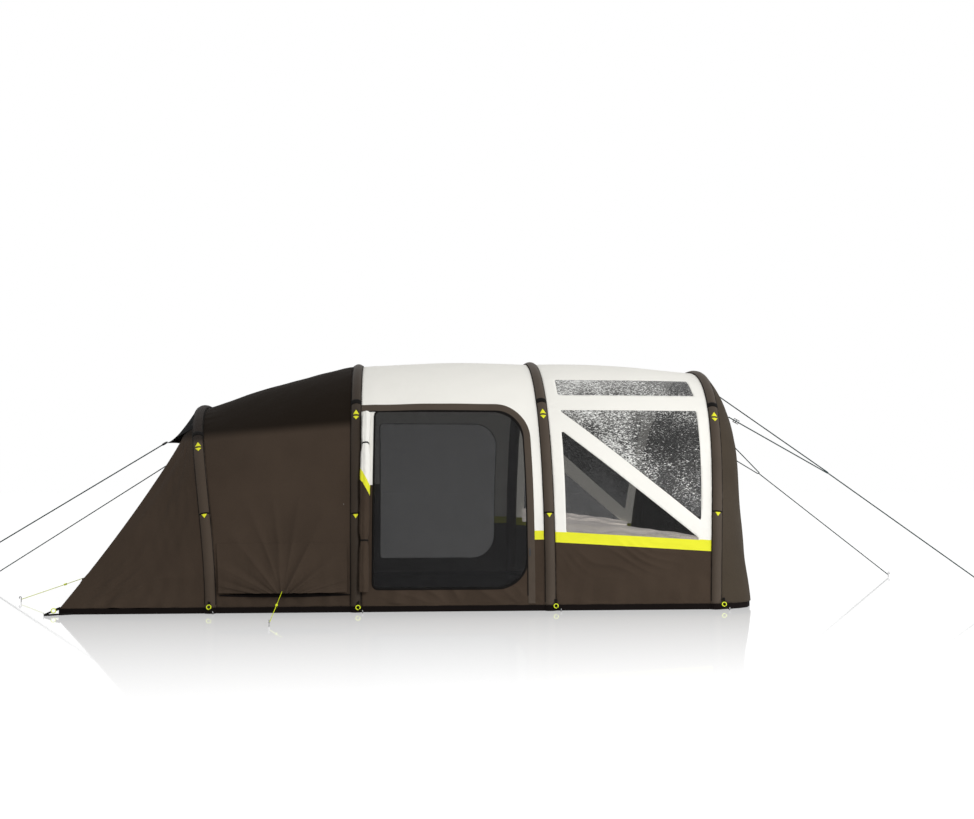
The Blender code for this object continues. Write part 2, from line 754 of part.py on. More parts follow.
def hip_line(side):
    """The rear corner's ridge, from the ground to the visor, drawn in halfway by the fabric's pull."""
    top = rear_eaves()[0]
    foot = np.array([REAR_X + EDGE_THICKNESS / 2, -BASE_HALF_WIDTH - LIFT, FOOT_Z])
    share = np.linspace(0, 1, REAR_STATIONS + 1)[:, None]
    line = foot * (1 - share) + top * share
    line[:, 0] += HIP_HOLLOW * (4 * share * (1 - share))[:, 0]
    return line if side < 0 else flipped(line)


def make_rear_end():
    for side, word in ((-1, "near"), (1, "far")):
        edge = beam_edge("rear", -1)[: REAR_STATIONS + 1]
        seam = edge if side < 0 else flipped(edge)
        hip = hip_line(side)
        share = np.linspace(0, 1, 5)[:, None, None]
        grid = seam * (1 - share) + hip * share
        grid[-1] += unit(grid[-2] - grid[-1]) * HIP_SETBACK
        grid[:, -1] += unit(grid[:, -2] - grid[:, -1]) * (2 * FABRIC + GAP)
        sheet(f"rear_side_panel_{word}", grid, outside_of(side) + np.array((-3, 0, 0)), brown_fabric())
    sheet("rear_wall", rear_wall_grid(), (-9, 0, 1), brown_fabric())
    sheet("rear_visor", visor_grid(), (-3, 0, 4), brown_fabric())
    make_guy("rear_vent", make_rear_vent(), REAR_VENT_PEG, REAR_TENSIONER_SHARE)


def rear_wall_grid():
    """The sloping rear wall between the two hips, full in its middle, up to the line of the eaves."""
    eaves = rear_eaves()
    columns = len(eaves)
    near, far = hip_line(-1), hip_line(1)
    share = np.linspace(0, 1, columns)[:, None, None]
    grid = near * (1 - share) + far * share
    height = np.linspace(0, 1, REAR_STATIONS + 1)[None, :, None]
    grid = grid + (eaves - grid[:, -1])[:, None] * height**3
    full = 4 * share * (1 - share) * np.sin(pi * height)
    grid[..., 0] -= (REAR_WALL_BULGE * full)[..., 0]
    grid[0] += unit(grid[1] - grid[0]) * HIP_SETBACK
    grid[-1] += unit(grid[-2] - grid[-1]) * HIP_SETBACK
    return grid


def make_rear_vent():
    """A small hood low on the rear wall, beside the near hip, held out by its guy.
    Returns the middle of its hem and the outward normal there."""
    wall = rear_wall_grid()
    normals = grid_normals(wall, (-9, 0, 1))
    across = np.linspace(-REAR_VENT_CENTRE - REAR_VENT_HALF, -REAR_VENT_CENTRE + REAR_VENT_HALF, 5)
    rows = np.linspace(REAR_VENT_SEAM_Z, REAR_VENT_HEM_Z, 5)
    hood = np.zeros((len(across), len(rows), 3))
    for j, z in enumerate(rows):
        line = np.array([[np.interp(z, c[:, 2], c[:, a]) for a in range(3)] for c in wall])
        lean = np.array(
            [[np.interp(z, c[:, 2], n[:, a]) for a in range(3)] for c, n in zip(wall, normals)]
        )
        drop = j / (len(rows) - 1)
        for i, y in enumerate(across):
            place = np.array([np.interp(y, line[:, 1], line[:, a]) for a in range(3)])
            out = unit(np.array([np.interp(y, line[:, 1], lean[:, a]) for a in range(3)]))
            crown = sin(pi * (i + 0.5) / len(across))
            hood[i, j] = place + out * (FABRIC + 2 * GAP + drop * (REAR_VENT_FLARE + REAR_VENT_PULL * crown))
    sheet("rear_vent_hood", hood, (-9, 0, 1), brown_fabric())
    return hem_anchor(hood, (-9, 0, 1))


def front_ring(scale):
    """One ring of the front wall: the front sleeve's seam line drawn in, and carried to the flat face.
    The shoulder is tight at the ground and above, and rounder halfway up the sides."""
    edge = beam_edge("front", 1)
    flat = FRONT_RINGS[-1]
    height = np.clip((edge[:, 2] - FOOT_Z) / (FRONT_EASE_TOP - FOOT_Z), 0, 1)
    power = FRONT_EDGE_POWER - FRONT_EDGE_EASE * np.sin(pi * height)
    rise = (1 - scale**power) / (1 - flat**power)
    ring = edge.copy()
    ring[:, 1] *= scale
    ring[:, 2] = FOOT_Z + (edge[:, 2] - FOOT_Z) * scale
    ring[:, 0] = edge[:, 0] + (FRONT_X - edge[:, 0]) * rise
    return ring


def front_rings():
    return np.array([front_ring(scale) for scale in FRONT_RINGS])


def front_ring_normals(rings):
    """Outward normals of the front wall's rings; the last ring borders the flat face."""
    normals = grid_normals(rings, (9, 0, 6))
    normals[-1] = (1, 0, 0)
    return normals


def make_front_end():
    rings = front_rings()
    normals = front_ring_normals(rings)
    points, faces = sheet_points(rings, normals, FABRIC)
    rows, columns = rings.shape[:2]
    size = rows * columns
    first = (rows - 1) * columns
    last = [first, first + columns - 1]
    faces = [face for face in faces if not closes_flat(face, first, columns, size)]
    faces.append(list(range(first, first + columns)))
    faces.append(list(range(size + first, size + first + columns)))
    faces.append([last[0], last[1], size + last[1], size + last[0]])
    wall = mesh_object("front_wall", points, faces, brown_fabric())
    outline = front_door_outline(0)
    apply_boolean(wall, front_prism("front_door_cut", outline), "DIFFERENCE")
    make_front_door()


def closes_flat(face, first, columns, size):
    """Whether a face is one of the thin ones that close the sheet along its last ring."""
    ring = range(first, first + columns)
    return all(corner in ring or corner - size in ring for corner in face)


def front_door_outline(grow):
    corners = [
        (-FRONT_DOOR_HALF, FRONT_DOOR_SILL),
        (FRONT_DOOR_HALF, FRONT_DOOR_SILL),
        (FRONT_DOOR_HALF, FRONT_DOOR_HEAD),
        (-FRONT_DOOR_HALF, FRONT_DOOR_HEAD),
    ]
    radii = [DOOR_SMALL_CORNER, DOOR_SMALL_CORNER, FRONT_DOOR_CORNER, FRONT_DOOR_CORNER]
    return rounded_loop(inset(corners, -grow), [r + grow for r in radii], 5)


def front_prism(name, outline):
    loop = np.stack([np.full(len(outline), FRONT_X - CUT_MARGIN), outline[:, 0], outline[:, 1]], axis=1)
    return prism(name, loop, (2 * CUT_MARGIN, 0, 0), black_fabric())


def make_front_door():
    outline = front_door_outline(DOOR_LAP)
    inner = FRONT_X + FABRIC / 2 + GAP
    hinge = np.array([inner, -FRONT_DOOR_HALF - DOOR_LAP, FRONT_DOOR_SILL])
    loop = np.stack([np.full(len(outline), inner), outline[:, 0], outline[:, 1]], axis=1)
    door = prism("front_door", loop, (FABRIC, 0, 0), brown_fabric())
    door.data.transform(Matrix.Translation(-Vector(hinge)))
    door.location = hinge


def make_divider():
    """The bedroom's front: a flat wall across the tent that meets the fly all round, with a doorway."""
    grid = bay_grid("rear", "bedroom", 0, STATIONS)
    normals = grid_normals(grid, above())
    outline = []
    for k in range(STATIONS + 1):
        share = np.interp(DIVIDER_X, grid[:, k, 0], np.arange(len(grid)))
        low = min(int(share), len(grid) - 2)
        point = grid[low, k] * (1 - share + low) + grid[low + 1, k] * (share - low)
        out = unit(normals[low, k] * (0, 1, 1))
        outline.append(point - out * (1.5 * FABRIC + GAP))
    outline = np.array(outline)
    outline[:, 0] = DIVIDER_X
    inner_edge = BASE_HALF_WIDTH + LIFT - EDGE_THICKNESS - FABRIC
    outline[:, 1] = np.clip(outline[:, 1], -inner_edge, inner_edge)
    base = SHEET_THICKNESS + GAP
    feet = [(DIVIDER_X, outline[-1, 1], base), (DIVIDER_X, outline[0, 1], base)]
    divider = prism("bedroom_divider", np.vstack([outline, feet]), (FABRIC, 0, 0), divider_fabric())
    corners = [
        (-DIVIDER_DOOR_HALF, DIVIDER_DOOR_SILL),
        (DIVIDER_DOOR_HALF, DIVIDER_DOOR_SILL),
        (DIVIDER_DOOR_HALF, DIVIDER_DOOR_HEAD),
        (-DIVIDER_DOOR_HALF, DIVIDER_DOOR_HEAD),
    ]
    radii = [DOOR_SMALL_CORNER, DOOR_SMALL_CORNER, DIVIDER_DOOR_CORNER, DIVIDER_DOOR_CORNER]
    hole = rounded_loop(corners, radii, 5)
    loop = np.stack([np.full(len(hole), DIVIDER_X - CUT_MARGIN), hole[:, 0], hole[:, 1]], axis=1)
    cutter = prism("divider_door_cut", loop, (2 * CUT_MARGIN, 0, 0), black_fabric())
    apply_boolean(divider, cutter, "DIFFERENCE")


def ground_outline():
    """The plan of the fly's lower edge, anticlockwise from the near rear corner."""
    rings = front_rings()
    near = [(REAR_X + EDGE_THICKNESS / 2, -BASE_HALF_WIDTH - LIFT)]
    near += [(ring[0, 0], ring[0, 1]) for ring in rings]
    far = [(x, -y) for x, y in reversed(near)]
    return np.array(near + far)


def make_groundsheet():
    """A floor with a low upturned edge under the fly, and a round pad under each beam foot."""
    outline = ground_outline()
    outer = inset(outline, -EDGE_THICKNESS / 2)
    inner = inset(outline, EDGE_THICKNESS / 2)
    count = len(outline)
    top = FOOT_Z - GAP
    levels = [(outer, 0.0), (outer, top), (inner, top), (inner, SHEET_THICKNESS)]
    points = np.vstack([np.column_stack([plan, np.full(count, z)]) for plan, z in levels])
    faces = [list(range(count))[::-1], list(range(3 * count, 4 * count))]
    for level in range(3):
        for i in range(count):
            j = (i + 1) % count
            a, b = level * count + i, level * count + j
            faces.append([a, b, b + count, a + count])
    groundsheet = mesh_object("groundsheet", points, faces, black_fabric(), smooth=False)
    for beam in BEAMS:
        foot_x = BEAMS[beam]["foot_x"]
        for side in (-1, 1):
            base = (foot_x, side * BASE_HALF_WIDTH, 0)
            profile = ((0.0, PAD_RADIUS), (top, PAD_RADIUS))
            pad = turned(f"{beam}_pad_form_{side + 1}", base, (0, 0, 1), profile, black_fabric())
            apply_boolean(groundsheet, pad, "UNION")


def cord(name, points, radius, surface):
    """A round cord through its points."""
    curve = bpy.data.curves.new(name, "CURVE")
    curve.dimensions = "3D"
    curve.bevel_depth = radius
    curve.bevel_resolution = 2
    curve.use_fill_caps = True
    spline = curve.splines.new("POLY")
    spline.points.add(len(points) - 1)
    for spot, point in zip(spline.points, points):
        spot.co = (*point, 1.0)
    curve.materials.append(surface)
    obj = bpy.data.objects.new(name, curve)
    bpy.context.scene.collection.objects.link(obj)
    return obj


def peg(name, x, y, away):
    """A peg's hook above the ground: a rod that rises, leans away from the tent and turns over."""
    away = unit(np.array([away[0], away[1], 0.0]))
    base = np.array([x, y, 0.0])
    turn = [
        (0.0, 0.0),
        (0.0, PEG_HEIGHT * 0.7),
        (PEG_HOOK * 0.25, PEG_HEIGHT * 0.95),
        (PEG_HOOK * 0.75, PEG_HEIGHT),
        (PEG_HOOK, PEG_HEIGHT * 0.6),
    ]
    route = [base + away * out + np.array([0, 0, up]) for out, up in turn]
    return cord(name, route, PEG_RADIUS, steel())


def rope_end_at_peg(start, x, y, radius):
    """Where a rope stops just short of its peg, at the height where it is tied."""
    tie = np.array([x, y, PEG_HEIGHT * 0.5])
    run = unit(np.asarray(start) - tie)
    back = unit(run * (1, 1, 0))
    return tie + back * (PEG_RADIUS + GAP + radius * abs(run[2]))


def off_fabric(point, normal, toward, radius):
    """The middle of a cord's end that stands just clear of a fabric's face and leaves toward a point."""
    run = unit(np.asarray(toward) - point)
    slant = sqrt(max(0.0, 1 - (run @ normal) ** 2))
    return point + normal * (FABRIC / 2 + GAP + radius * slant)


def straight(start, end, count=ROPE_POINTS):
    share = np.linspace(0, 1, count)[:, None]
    return np.asarray(start) * (1 - share) + np.asarray(end) * share


def visor_corner(side):
    """A rope's place beside a corner of the visor's tip line, and the outward normal there.
    Both lie in the triangle of the fabric that borders the tip line at that corner."""
    visor = visor_grid()
    column, behind, beside = (0, 0, 1) if side < 0 else (-1, -2, -2)
    corner = visor[-1, column]
    edge, hem = unit(visor[-2, behind] - corner), unit(visor[-1, beside] - corner)
    return corner + (hem + edge) * HEM_INSET, unit(np.cross(edge, hem)) * -side


def make_rear_ropes():
    """One storm rope from each corner of the visor's tip down to its peg."""
    for side, word in ((-1, "near"), (1, "far")):
        corner, normal = visor_corner(side)
        x, y = REAR_PEG[0], side * REAR_PEG[1]
        start = off_fabric(corner, normal, (x, y, 0), STORM_ROPE_RADIUS) + normal * 2 * GAP
        rope = straight(start, rope_end_at_peg(start, x, y, STORM_ROPE_RADIUS))
        cord(f"rear_rope_{word}", rope, STORM_ROPE_RADIUS, black_cord())
        peg(f"rear_peg_{word}", x, y, (-1, y * PEG_LEAN))


def front_anchor(ring, station, toward):
    """A rope's starting point on the shoulder of the front wall."""
    rings = front_rings()
    normal = front_ring_normals(rings)[ring, station]
    return off_fabric(rings[ring, station], normal, toward, STORM_ROPE_RADIUS)


def bridle_route(upper, lower, knot):
    """Down from the upper anchor, half round the eye of the main rope, and back up to the lower one."""
    ahead = unit(knot - (upper + lower) / 2)
    aside = unit((upper - lower) - ahead * ((upper - lower) @ ahead))
    angles = np.radians(np.linspace(95, -95, 7))[:, None]
    turn = knot + JUNCTION_LOOP * (np.cos(angles) * ahead + np.sin(angles) * aside)
    return np.vstack([straight(upper, turn[0], 5)[:-1], turn, straight(turn[-1], lower, 5)[1:]])


def make_front_ropes():
    """On each side a bridle from two anchors on the front, and a rope from its eye to a peg."""
    for side, word in ((-1, "near"), (1, "far")):
        knot = np.array(FRONT_JUNCTION) * (1, -1, 1)
        upper = front_anchor(FRONT_ANCHOR_RING, UPPER_ANCHOR_STATION, knot)
        lower = front_anchor(FRONT_ANCHOR_RING, LOWER_ANCHOR_STATION, knot)
        bridle = bridle_route(upper, lower, knot)
        peg_x, peg_y = FRONT_PEG[0], -FRONT_PEG[1]
        pull = unit(np.array([peg_x, peg_y, PEG_HEIGHT * 0.5]) - knot)
        start = knot + pull * (JUNCTION_LOOP + STORM_ROPE_RADIUS + 2 * GAP)
        rope = straight(start, rope_end_at_peg(start, peg_x, peg_y, STORM_ROPE_RADIUS))
        if side > 0:
            bridle, rope, peg_y = flipped(bridle), flipped(rope), -peg_y
        cord(f"front_bridle_{word}", bridle, STORM_ROPE_RADIUS, black_cord())
        cord(f"front_rope_{word}", rope, STORM_ROPE_RADIUS, black_cord())
        peg(f"front_peg_{word}", peg_x, peg_y, (1, peg_y * PEG_LEAN))


def tensioner(name, start, end, share):
    """A neon line tensioner: a short ribbed bead that the guy runs through."""
    start, end = np.asarray(start), np.asarray(end)
    place = start * (1 - share) + end * share
    axis = unit(end - start)
    bore = (GUY_RADIUS + 2 * GAP) / cos(pi / 12)
    half = TENSIONER_LENGTH / 2
    profile = [(-half, bore), (-half, TENSIONER_RADIUS * 0.75), (-half * 0.5, TENSIONER_RADIUS)]
    profile += [(0, TENSIONER_RADIUS * 0.7), (half * 0.5, TENSIONER_RADIUS), (half, TENSIONER_RADIUS * 0.75)]
    profile += [(half, bore)]
    sides = 12
    side = unit(np.cross(axis, (0, 0, 1)))
    other = np.cross(axis, side)
    angles = np.arange(sides) * 2 * pi / sides
    circle = np.cos(angles)[:, None] * side + np.sin(angles)[:, None] * other
    points = np.vstack([place + axis * h + circle * r for h, r in profile])
    rows = len(profile)
    faces = tube_faces(rows, sides)
    for j in range(sides):
        k = (j + 1) % sides
        faces.append([(rows - 1) * sides + j, (rows - 1) * sides + k, k, j])
    mesh_object(name, points, faces, neon_cord(), origin=place)


def make_guy(name, anchor, place, share):
    """A neon guy from the middle of a hood's hem to its peg, with a tensioner that slides on it."""
    point, normal = anchor
    start = off_fabric(point, normal, (*place, 0), GUY_RADIUS)
    end = rope_end_at_peg(start, *place, GUY_RADIUS)
    cord(f"{name}_guy", straight(start, end), GUY_RADIUS, neon_cord())
    peg(f"{name}_peg", *place, np.array(place) - point[:2])
    tensioner(f"{name}_tensioner", start, end, share)


def main():
    clear_scene()
    for beam in BEAMS:
        make_bladder(beam)
        make_sleeve(beam)
        make_valve_cap(beam)
    make_bedroom_bay()
    make_door_bay()
    make_window_bay()
    make_rear_end()
    make_front_end()
    make_divider()
    make_groundsheet()
    make_rear_ropes()
    make_front_ropes()


main()
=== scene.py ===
# An inflatable tunnel tent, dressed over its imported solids. Metres: X along the tent, Z up.
import json
from math import cos, pi, radians, sin

import bpy
import numpy as np
from mathutils import Vector
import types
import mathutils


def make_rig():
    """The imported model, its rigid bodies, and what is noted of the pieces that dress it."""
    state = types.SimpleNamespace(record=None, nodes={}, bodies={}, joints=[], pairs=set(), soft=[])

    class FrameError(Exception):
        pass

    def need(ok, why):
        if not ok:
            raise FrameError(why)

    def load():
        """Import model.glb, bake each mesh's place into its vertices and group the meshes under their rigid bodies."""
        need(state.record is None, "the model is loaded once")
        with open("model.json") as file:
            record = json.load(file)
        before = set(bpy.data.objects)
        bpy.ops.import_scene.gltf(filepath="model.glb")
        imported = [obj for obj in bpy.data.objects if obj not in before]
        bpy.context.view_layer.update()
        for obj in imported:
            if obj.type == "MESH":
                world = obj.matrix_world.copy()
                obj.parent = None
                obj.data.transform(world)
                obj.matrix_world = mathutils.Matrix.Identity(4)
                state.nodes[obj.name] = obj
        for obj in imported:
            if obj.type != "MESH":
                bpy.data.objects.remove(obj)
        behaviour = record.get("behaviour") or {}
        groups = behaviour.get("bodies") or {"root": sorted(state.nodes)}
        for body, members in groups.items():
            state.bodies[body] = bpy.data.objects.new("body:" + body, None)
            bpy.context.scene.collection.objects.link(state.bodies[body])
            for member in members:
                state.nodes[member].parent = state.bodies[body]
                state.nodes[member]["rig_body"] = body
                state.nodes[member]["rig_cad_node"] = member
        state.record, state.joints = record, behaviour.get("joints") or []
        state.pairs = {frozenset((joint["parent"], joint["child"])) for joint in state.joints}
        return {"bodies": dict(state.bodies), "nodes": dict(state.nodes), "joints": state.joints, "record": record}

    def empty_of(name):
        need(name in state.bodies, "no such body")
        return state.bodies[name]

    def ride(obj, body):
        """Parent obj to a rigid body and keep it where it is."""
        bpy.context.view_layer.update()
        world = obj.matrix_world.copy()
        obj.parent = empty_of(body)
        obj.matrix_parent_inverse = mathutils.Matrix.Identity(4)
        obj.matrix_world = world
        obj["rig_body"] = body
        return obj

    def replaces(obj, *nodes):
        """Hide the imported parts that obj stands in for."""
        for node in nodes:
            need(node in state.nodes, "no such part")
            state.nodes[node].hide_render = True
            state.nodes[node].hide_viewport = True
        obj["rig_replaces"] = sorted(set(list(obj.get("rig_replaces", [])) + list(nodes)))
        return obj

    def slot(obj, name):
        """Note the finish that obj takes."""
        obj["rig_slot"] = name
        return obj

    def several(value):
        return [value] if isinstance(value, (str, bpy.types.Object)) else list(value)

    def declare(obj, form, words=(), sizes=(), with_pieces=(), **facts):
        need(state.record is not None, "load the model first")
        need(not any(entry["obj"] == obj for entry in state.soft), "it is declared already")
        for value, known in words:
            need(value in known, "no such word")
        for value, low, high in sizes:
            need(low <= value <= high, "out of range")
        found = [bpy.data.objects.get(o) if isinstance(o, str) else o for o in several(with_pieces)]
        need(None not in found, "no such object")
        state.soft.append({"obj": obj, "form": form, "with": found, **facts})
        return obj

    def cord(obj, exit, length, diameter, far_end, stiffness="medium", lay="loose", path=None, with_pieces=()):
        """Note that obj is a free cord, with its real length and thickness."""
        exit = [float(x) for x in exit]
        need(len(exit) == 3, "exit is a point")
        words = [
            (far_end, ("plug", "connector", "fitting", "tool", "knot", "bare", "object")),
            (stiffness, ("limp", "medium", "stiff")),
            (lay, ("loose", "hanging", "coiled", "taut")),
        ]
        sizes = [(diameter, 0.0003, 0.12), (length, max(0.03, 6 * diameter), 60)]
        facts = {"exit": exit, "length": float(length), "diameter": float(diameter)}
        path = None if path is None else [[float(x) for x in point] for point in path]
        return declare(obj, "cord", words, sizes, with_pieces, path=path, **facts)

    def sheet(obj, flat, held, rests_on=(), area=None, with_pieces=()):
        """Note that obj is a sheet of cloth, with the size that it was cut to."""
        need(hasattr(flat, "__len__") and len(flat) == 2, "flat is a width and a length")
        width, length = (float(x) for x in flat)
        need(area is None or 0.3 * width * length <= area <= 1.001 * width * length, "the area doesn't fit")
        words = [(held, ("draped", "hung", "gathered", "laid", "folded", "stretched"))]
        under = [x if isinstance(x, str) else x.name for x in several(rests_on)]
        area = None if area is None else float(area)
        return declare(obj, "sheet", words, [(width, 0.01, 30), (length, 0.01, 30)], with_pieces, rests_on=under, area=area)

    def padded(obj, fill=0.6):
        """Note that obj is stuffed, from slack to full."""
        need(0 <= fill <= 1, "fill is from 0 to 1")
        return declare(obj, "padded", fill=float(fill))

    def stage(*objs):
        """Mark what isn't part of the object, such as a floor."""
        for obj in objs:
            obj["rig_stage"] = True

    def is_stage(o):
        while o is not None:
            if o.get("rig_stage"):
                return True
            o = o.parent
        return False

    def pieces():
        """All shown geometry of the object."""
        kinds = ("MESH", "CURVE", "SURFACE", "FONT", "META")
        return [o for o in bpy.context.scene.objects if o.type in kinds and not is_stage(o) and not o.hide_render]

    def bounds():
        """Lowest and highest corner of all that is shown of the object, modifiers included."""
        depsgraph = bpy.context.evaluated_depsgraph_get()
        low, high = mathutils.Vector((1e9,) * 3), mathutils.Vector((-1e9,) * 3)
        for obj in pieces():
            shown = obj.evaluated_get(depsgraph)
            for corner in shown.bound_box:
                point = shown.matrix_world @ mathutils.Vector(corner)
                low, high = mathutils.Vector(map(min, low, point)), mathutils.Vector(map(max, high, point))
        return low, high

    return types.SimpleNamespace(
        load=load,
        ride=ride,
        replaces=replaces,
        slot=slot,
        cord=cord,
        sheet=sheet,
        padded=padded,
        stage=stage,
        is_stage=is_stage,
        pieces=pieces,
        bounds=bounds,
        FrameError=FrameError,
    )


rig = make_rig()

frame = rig.load()
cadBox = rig.bounds()
scene = bpy.context.scene

# ---------- camera, floor and light ----------
camera = {"place": (-0.09, -11.0, 1.06), "turnRight": 4.1814, "tiltUp": 3.1505, "lens": 43.98}
studio = {"skyLight": 0.62, "floorGlow": 0.80, "floorGrey": 0.38, "floorSize": 60.0, "floorLevel": -0.0005}
mirror = {"From Min": -6.2, "From Max": -1.7, "To Min": 0.0, "To Max": 0.50}  # the floor's shine along Y
lamps = {
    "keyLamp": {"place": (5.0, -11.0, 5.4), "aim": (0.2, 0, 0.9), "size": 2.2, "power": 500},
    "rightLamp": {"place": (8.5, -5.0, 2.6), "aim": (2.0, 0, 1.0), "size": 3.5, "power": 150},
}
white = (1, 1, 1, 1)


def showObject(name, data):
    # a mesh, curve, camera or lamp in the scene, at the origin
    made = bpy.data.objects.new(name, data)
    scene.collection.objects.link(made)
    return made


def addNode(tree, kind, feeds=None, **settings):
    # a shader node; feeds gives its sockets values, or other nodes' outputs
    node = tree.nodes.new("ShaderNode" + kind)
    for key, value in settings.items():
        setattr(node, key, value)
    for socket, value in (feeds or {}).items():
        feed(tree, node, socket, value)
    return node


def feed(tree, node, socket, value):
    # one socket's value, or the link from another node's output
    if isinstance(value, bpy.types.Node):
        value = value.outputs[0]
    if isinstance(value, bpy.types.NodeSocket):
        tree.links.new(value, node.inputs[socket])
    else:
        node.inputs[socket].default_value = value


def nodesOf(name):
    # a new material and its empty tree
    made = bpy.data.materials.new(name)
    made.use_nodes = True
    made.node_tree.nodes.clear()
    return made, made.node_tree


def setCamera():
    lens = bpy.data.cameras.new("tentCamera")
    lens.sensor_width = 36
    lens.sensor_fit = "HORIZONTAL"
    lens.lens = camera["lens"]
    lens.clip_end = 200
    eye = showObject("tentCamera", lens)
    eye.location = camera["place"]
    eye.rotation_euler = (radians(90 + camera["tiltUp"]), 0, radians(-camera["turnRight"]))
    scene.camera = eye


def setLamp(name, facts):
    data = bpy.data.lights.new(name, "AREA")
    data.shape, data.size, data.energy = "SQUARE", facts["size"], facts["power"]
    lamp = showObject(name, data)
    lamp.location = facts["place"]
    lamp.rotation_euler = (Vector(facts["aim"]) - Vector(facts["place"])).to_track_quat("-Z", "Y").to_euler()


def floorMaterial():
    # white to the eye, shaded where the tent shades it; it mirrors the tent near its foot and less further off
    made, tree = nodesOf("studioFloor")
    matte = addNode(tree, "BsdfDiffuse", {"Color": (*[studio["floorGrey"]] * 3, 1)})
    glow = addNode(tree, "Emission", {"Color": white, "Strength": studio["floorGlow"]})
    none = addNode(tree, "Emission", {"Strength": 0})
    seen = addNode(tree, "LightPath").outputs["Is Camera Ray"]
    lift = addNode(tree, "MixShader", {0: seen, 1: none, 2: glow})
    both = addNode(tree, "AddShader", {0: matte, 1: lift})
    shine = addNode(tree, "BsdfGlossy", {"Color": white, "Roughness": 0.04})
    split = addNode(tree, "SeparateXYZ", {0: addNode(tree, "TexCoord").outputs["Object"]})
    share = addNode(tree, "MapRange", {"Value": split.outputs[1], **mirror})
    addNode(tree, "OutputMaterial", {"Surface": addNode(tree, "MixShader", {0: share, 1: both, 2: shine})})
    return made


def setFloor():
    size = studio["floorSize"]
    mesh = bpy.data.meshes.new("studioFloor")
    mesh.from_pydata([(-size, -size, 0), (size, -size, 0), (size, size, 0), (-size, size, 0)], [], [(0, 1, 2, 3)])
    mesh.materials.append(floorMaterial())
    floor = showObject("studioFloor", mesh)
    floor.location = (0, 0, studio["floorLevel"])
    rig.stage(floor)


def setWorld():
    # soft light on the tent; plain white for the eye and in what shines or lets light through
    world = bpy.data.worlds.new("studioWorld")
    world.use_nodes = True
    tree = world.node_tree
    tree.nodes.clear()
    soft = addNode(tree, "Background", {"Color": white, "Strength": studio["skyLight"]})
    plain = addNode(tree, "Background", {"Color": white, "Strength": 1.0})
    path = addNode(tree, "LightPath").outputs
    share = mathNode(tree, "MAXIMUM", path["Is Camera Ray"], path["Is Glossy Ray"])
    share = mathNode(tree, "MAXIMUM", share, path["Is Transmission Ray"])
    addNode(tree, "OutputWorld", {"Surface": addNode(tree, "MixShader", {0: share, 1: soft, 2: plain})})
    scene.world = world


def mathNode(tree, operation, *values):
    return addNode(tree, "Math", dict(enumerate(values)), operation=operation).outputs[0]


setCamera()
setFloor()
setWorld()
for name, facts in lamps.items():
    setLamp(name, facts)
scene.view_settings.view_transform = "Standard"
print("camera, floor and light are set")

# ---------- the tent's measures, as in its solids ----------
tent = {"halfWidth": 1.65, "sectionPower": 2.2, "leanPower": 1.7, "footZ": 0.045, "rearX": -2.67, "frontX": 2.766}
arches = {
    "rear": {"footX": -1.535, "crownX": -1.84, "crownZ": 1.64},
    "bedroom": {"footX": -0.427, "crownX": -0.465, "crownZ": 2.02},
    "door": {"footX": 1.09, "crownX": 1.09, "crownZ": 2.05},
    "front": {"footX": 2.41, "crownX": 2.62, "crownZ": 1.98},
}
sleeve = {"radius": 0.052, "skin": 0.0515, "bladder": 0.0488, "seamAngle": 30, "clear": -0.002}
thick = {"cloth": 0.0012, "visor": 0.0014, "pane": 0.0008, "net": 0.0007, "curtain": 0.0010}
thick |= {"tie": 0.0014, "seam": 0.0008, "mark": 0.0009, "strap": 0.0016}
sideOf = {"near": -1, "far": 1}
fine = 400  # steps along an arch's table


def unit(v):
    return v / np.linalg.norm(v, axis=-1, keepdims=True)


def lengthAlong(line):
    # the distance from a line's start to each of its points
    return np.concatenate([[0], np.cumsum(np.linalg.norm(np.diff(line, axis=0), axis=1))])


def ringAngles(count):
    # even angles once round, without the last
    return np.arange(count) * 2 * pi / count


def flipSide(points):
    return np.asarray(points, float) * (1, -1, 1)


def ripple(a, b, seed, waves=7):
    # a sum of sine waves of random slant, pitch and phase, about -1 to 1; a and b count wavelengths
    dice = np.random.default_rng(seed)
    total = 0.0
    for _ in range(waves):
        turn, phase, pitch = dice.uniform(0, pi), dice.uniform(0, 2 * pi), dice.uniform(0.6, 1.7)
        total = total + np.sin((a * cos(turn) + b * sin(turn)) * pitch * 2 * pi + phase)
    return total / np.sqrt(waves)


def archLine(arch):
    # |y / halfWidth|^p + |z / height|^p = 1, leaning along X with height^leanPower, in even steps
    size = arches[arch]
    angle = np.linspace(0, pi, 6001)
    power = 2 / tent["sectionPower"]
    y = -tent["halfWidth"] * np.sign(np.cos(angle)) * np.abs(np.cos(angle)) ** power
    rise = np.sin(angle).clip(0) ** power
    z = tent["footZ"] + (size["crownZ"] - tent["footZ"]) * rise
    x = size["footX"] + (size["crownX"] - size["footX"]) * rise ** tent["leanPower"]
    line = np.stack([x, y, z], axis=1)
    length = lengthAlong(line)
    even = np.linspace(0, length[-1], fine + 1)
    return np.stack([np.interp(even, length, line[:, i]) for i in range(3)], axis=1), length[-1]


def archTable(arch):
    # centre, tangent, outward and across directions, and the length, of an arch
    centre, length = archLine(arch)
    tangent = unit(np.gradient(centre, axis=0))
    outward = unit(np.cross((1.0, 0, 0), tangent))
    across = np.cross(tangent, outward)
    return {"centre": centre, "tangent": tangent, "outward": outward, "across": across, "length": length}


tables = {arch: archTable(arch) for arch in arches}


def at(table, s):
    # rows of a table at shares s (0 at the near foot, 1 at the far foot)
    place = np.clip(np.asarray(s, float), 0, 1) * fine
    low = np.minimum(place.astype(int), fine - 1)
    part = (place - low)[..., None]
    return table[low] * (1 - part) + table[low + 1] * part


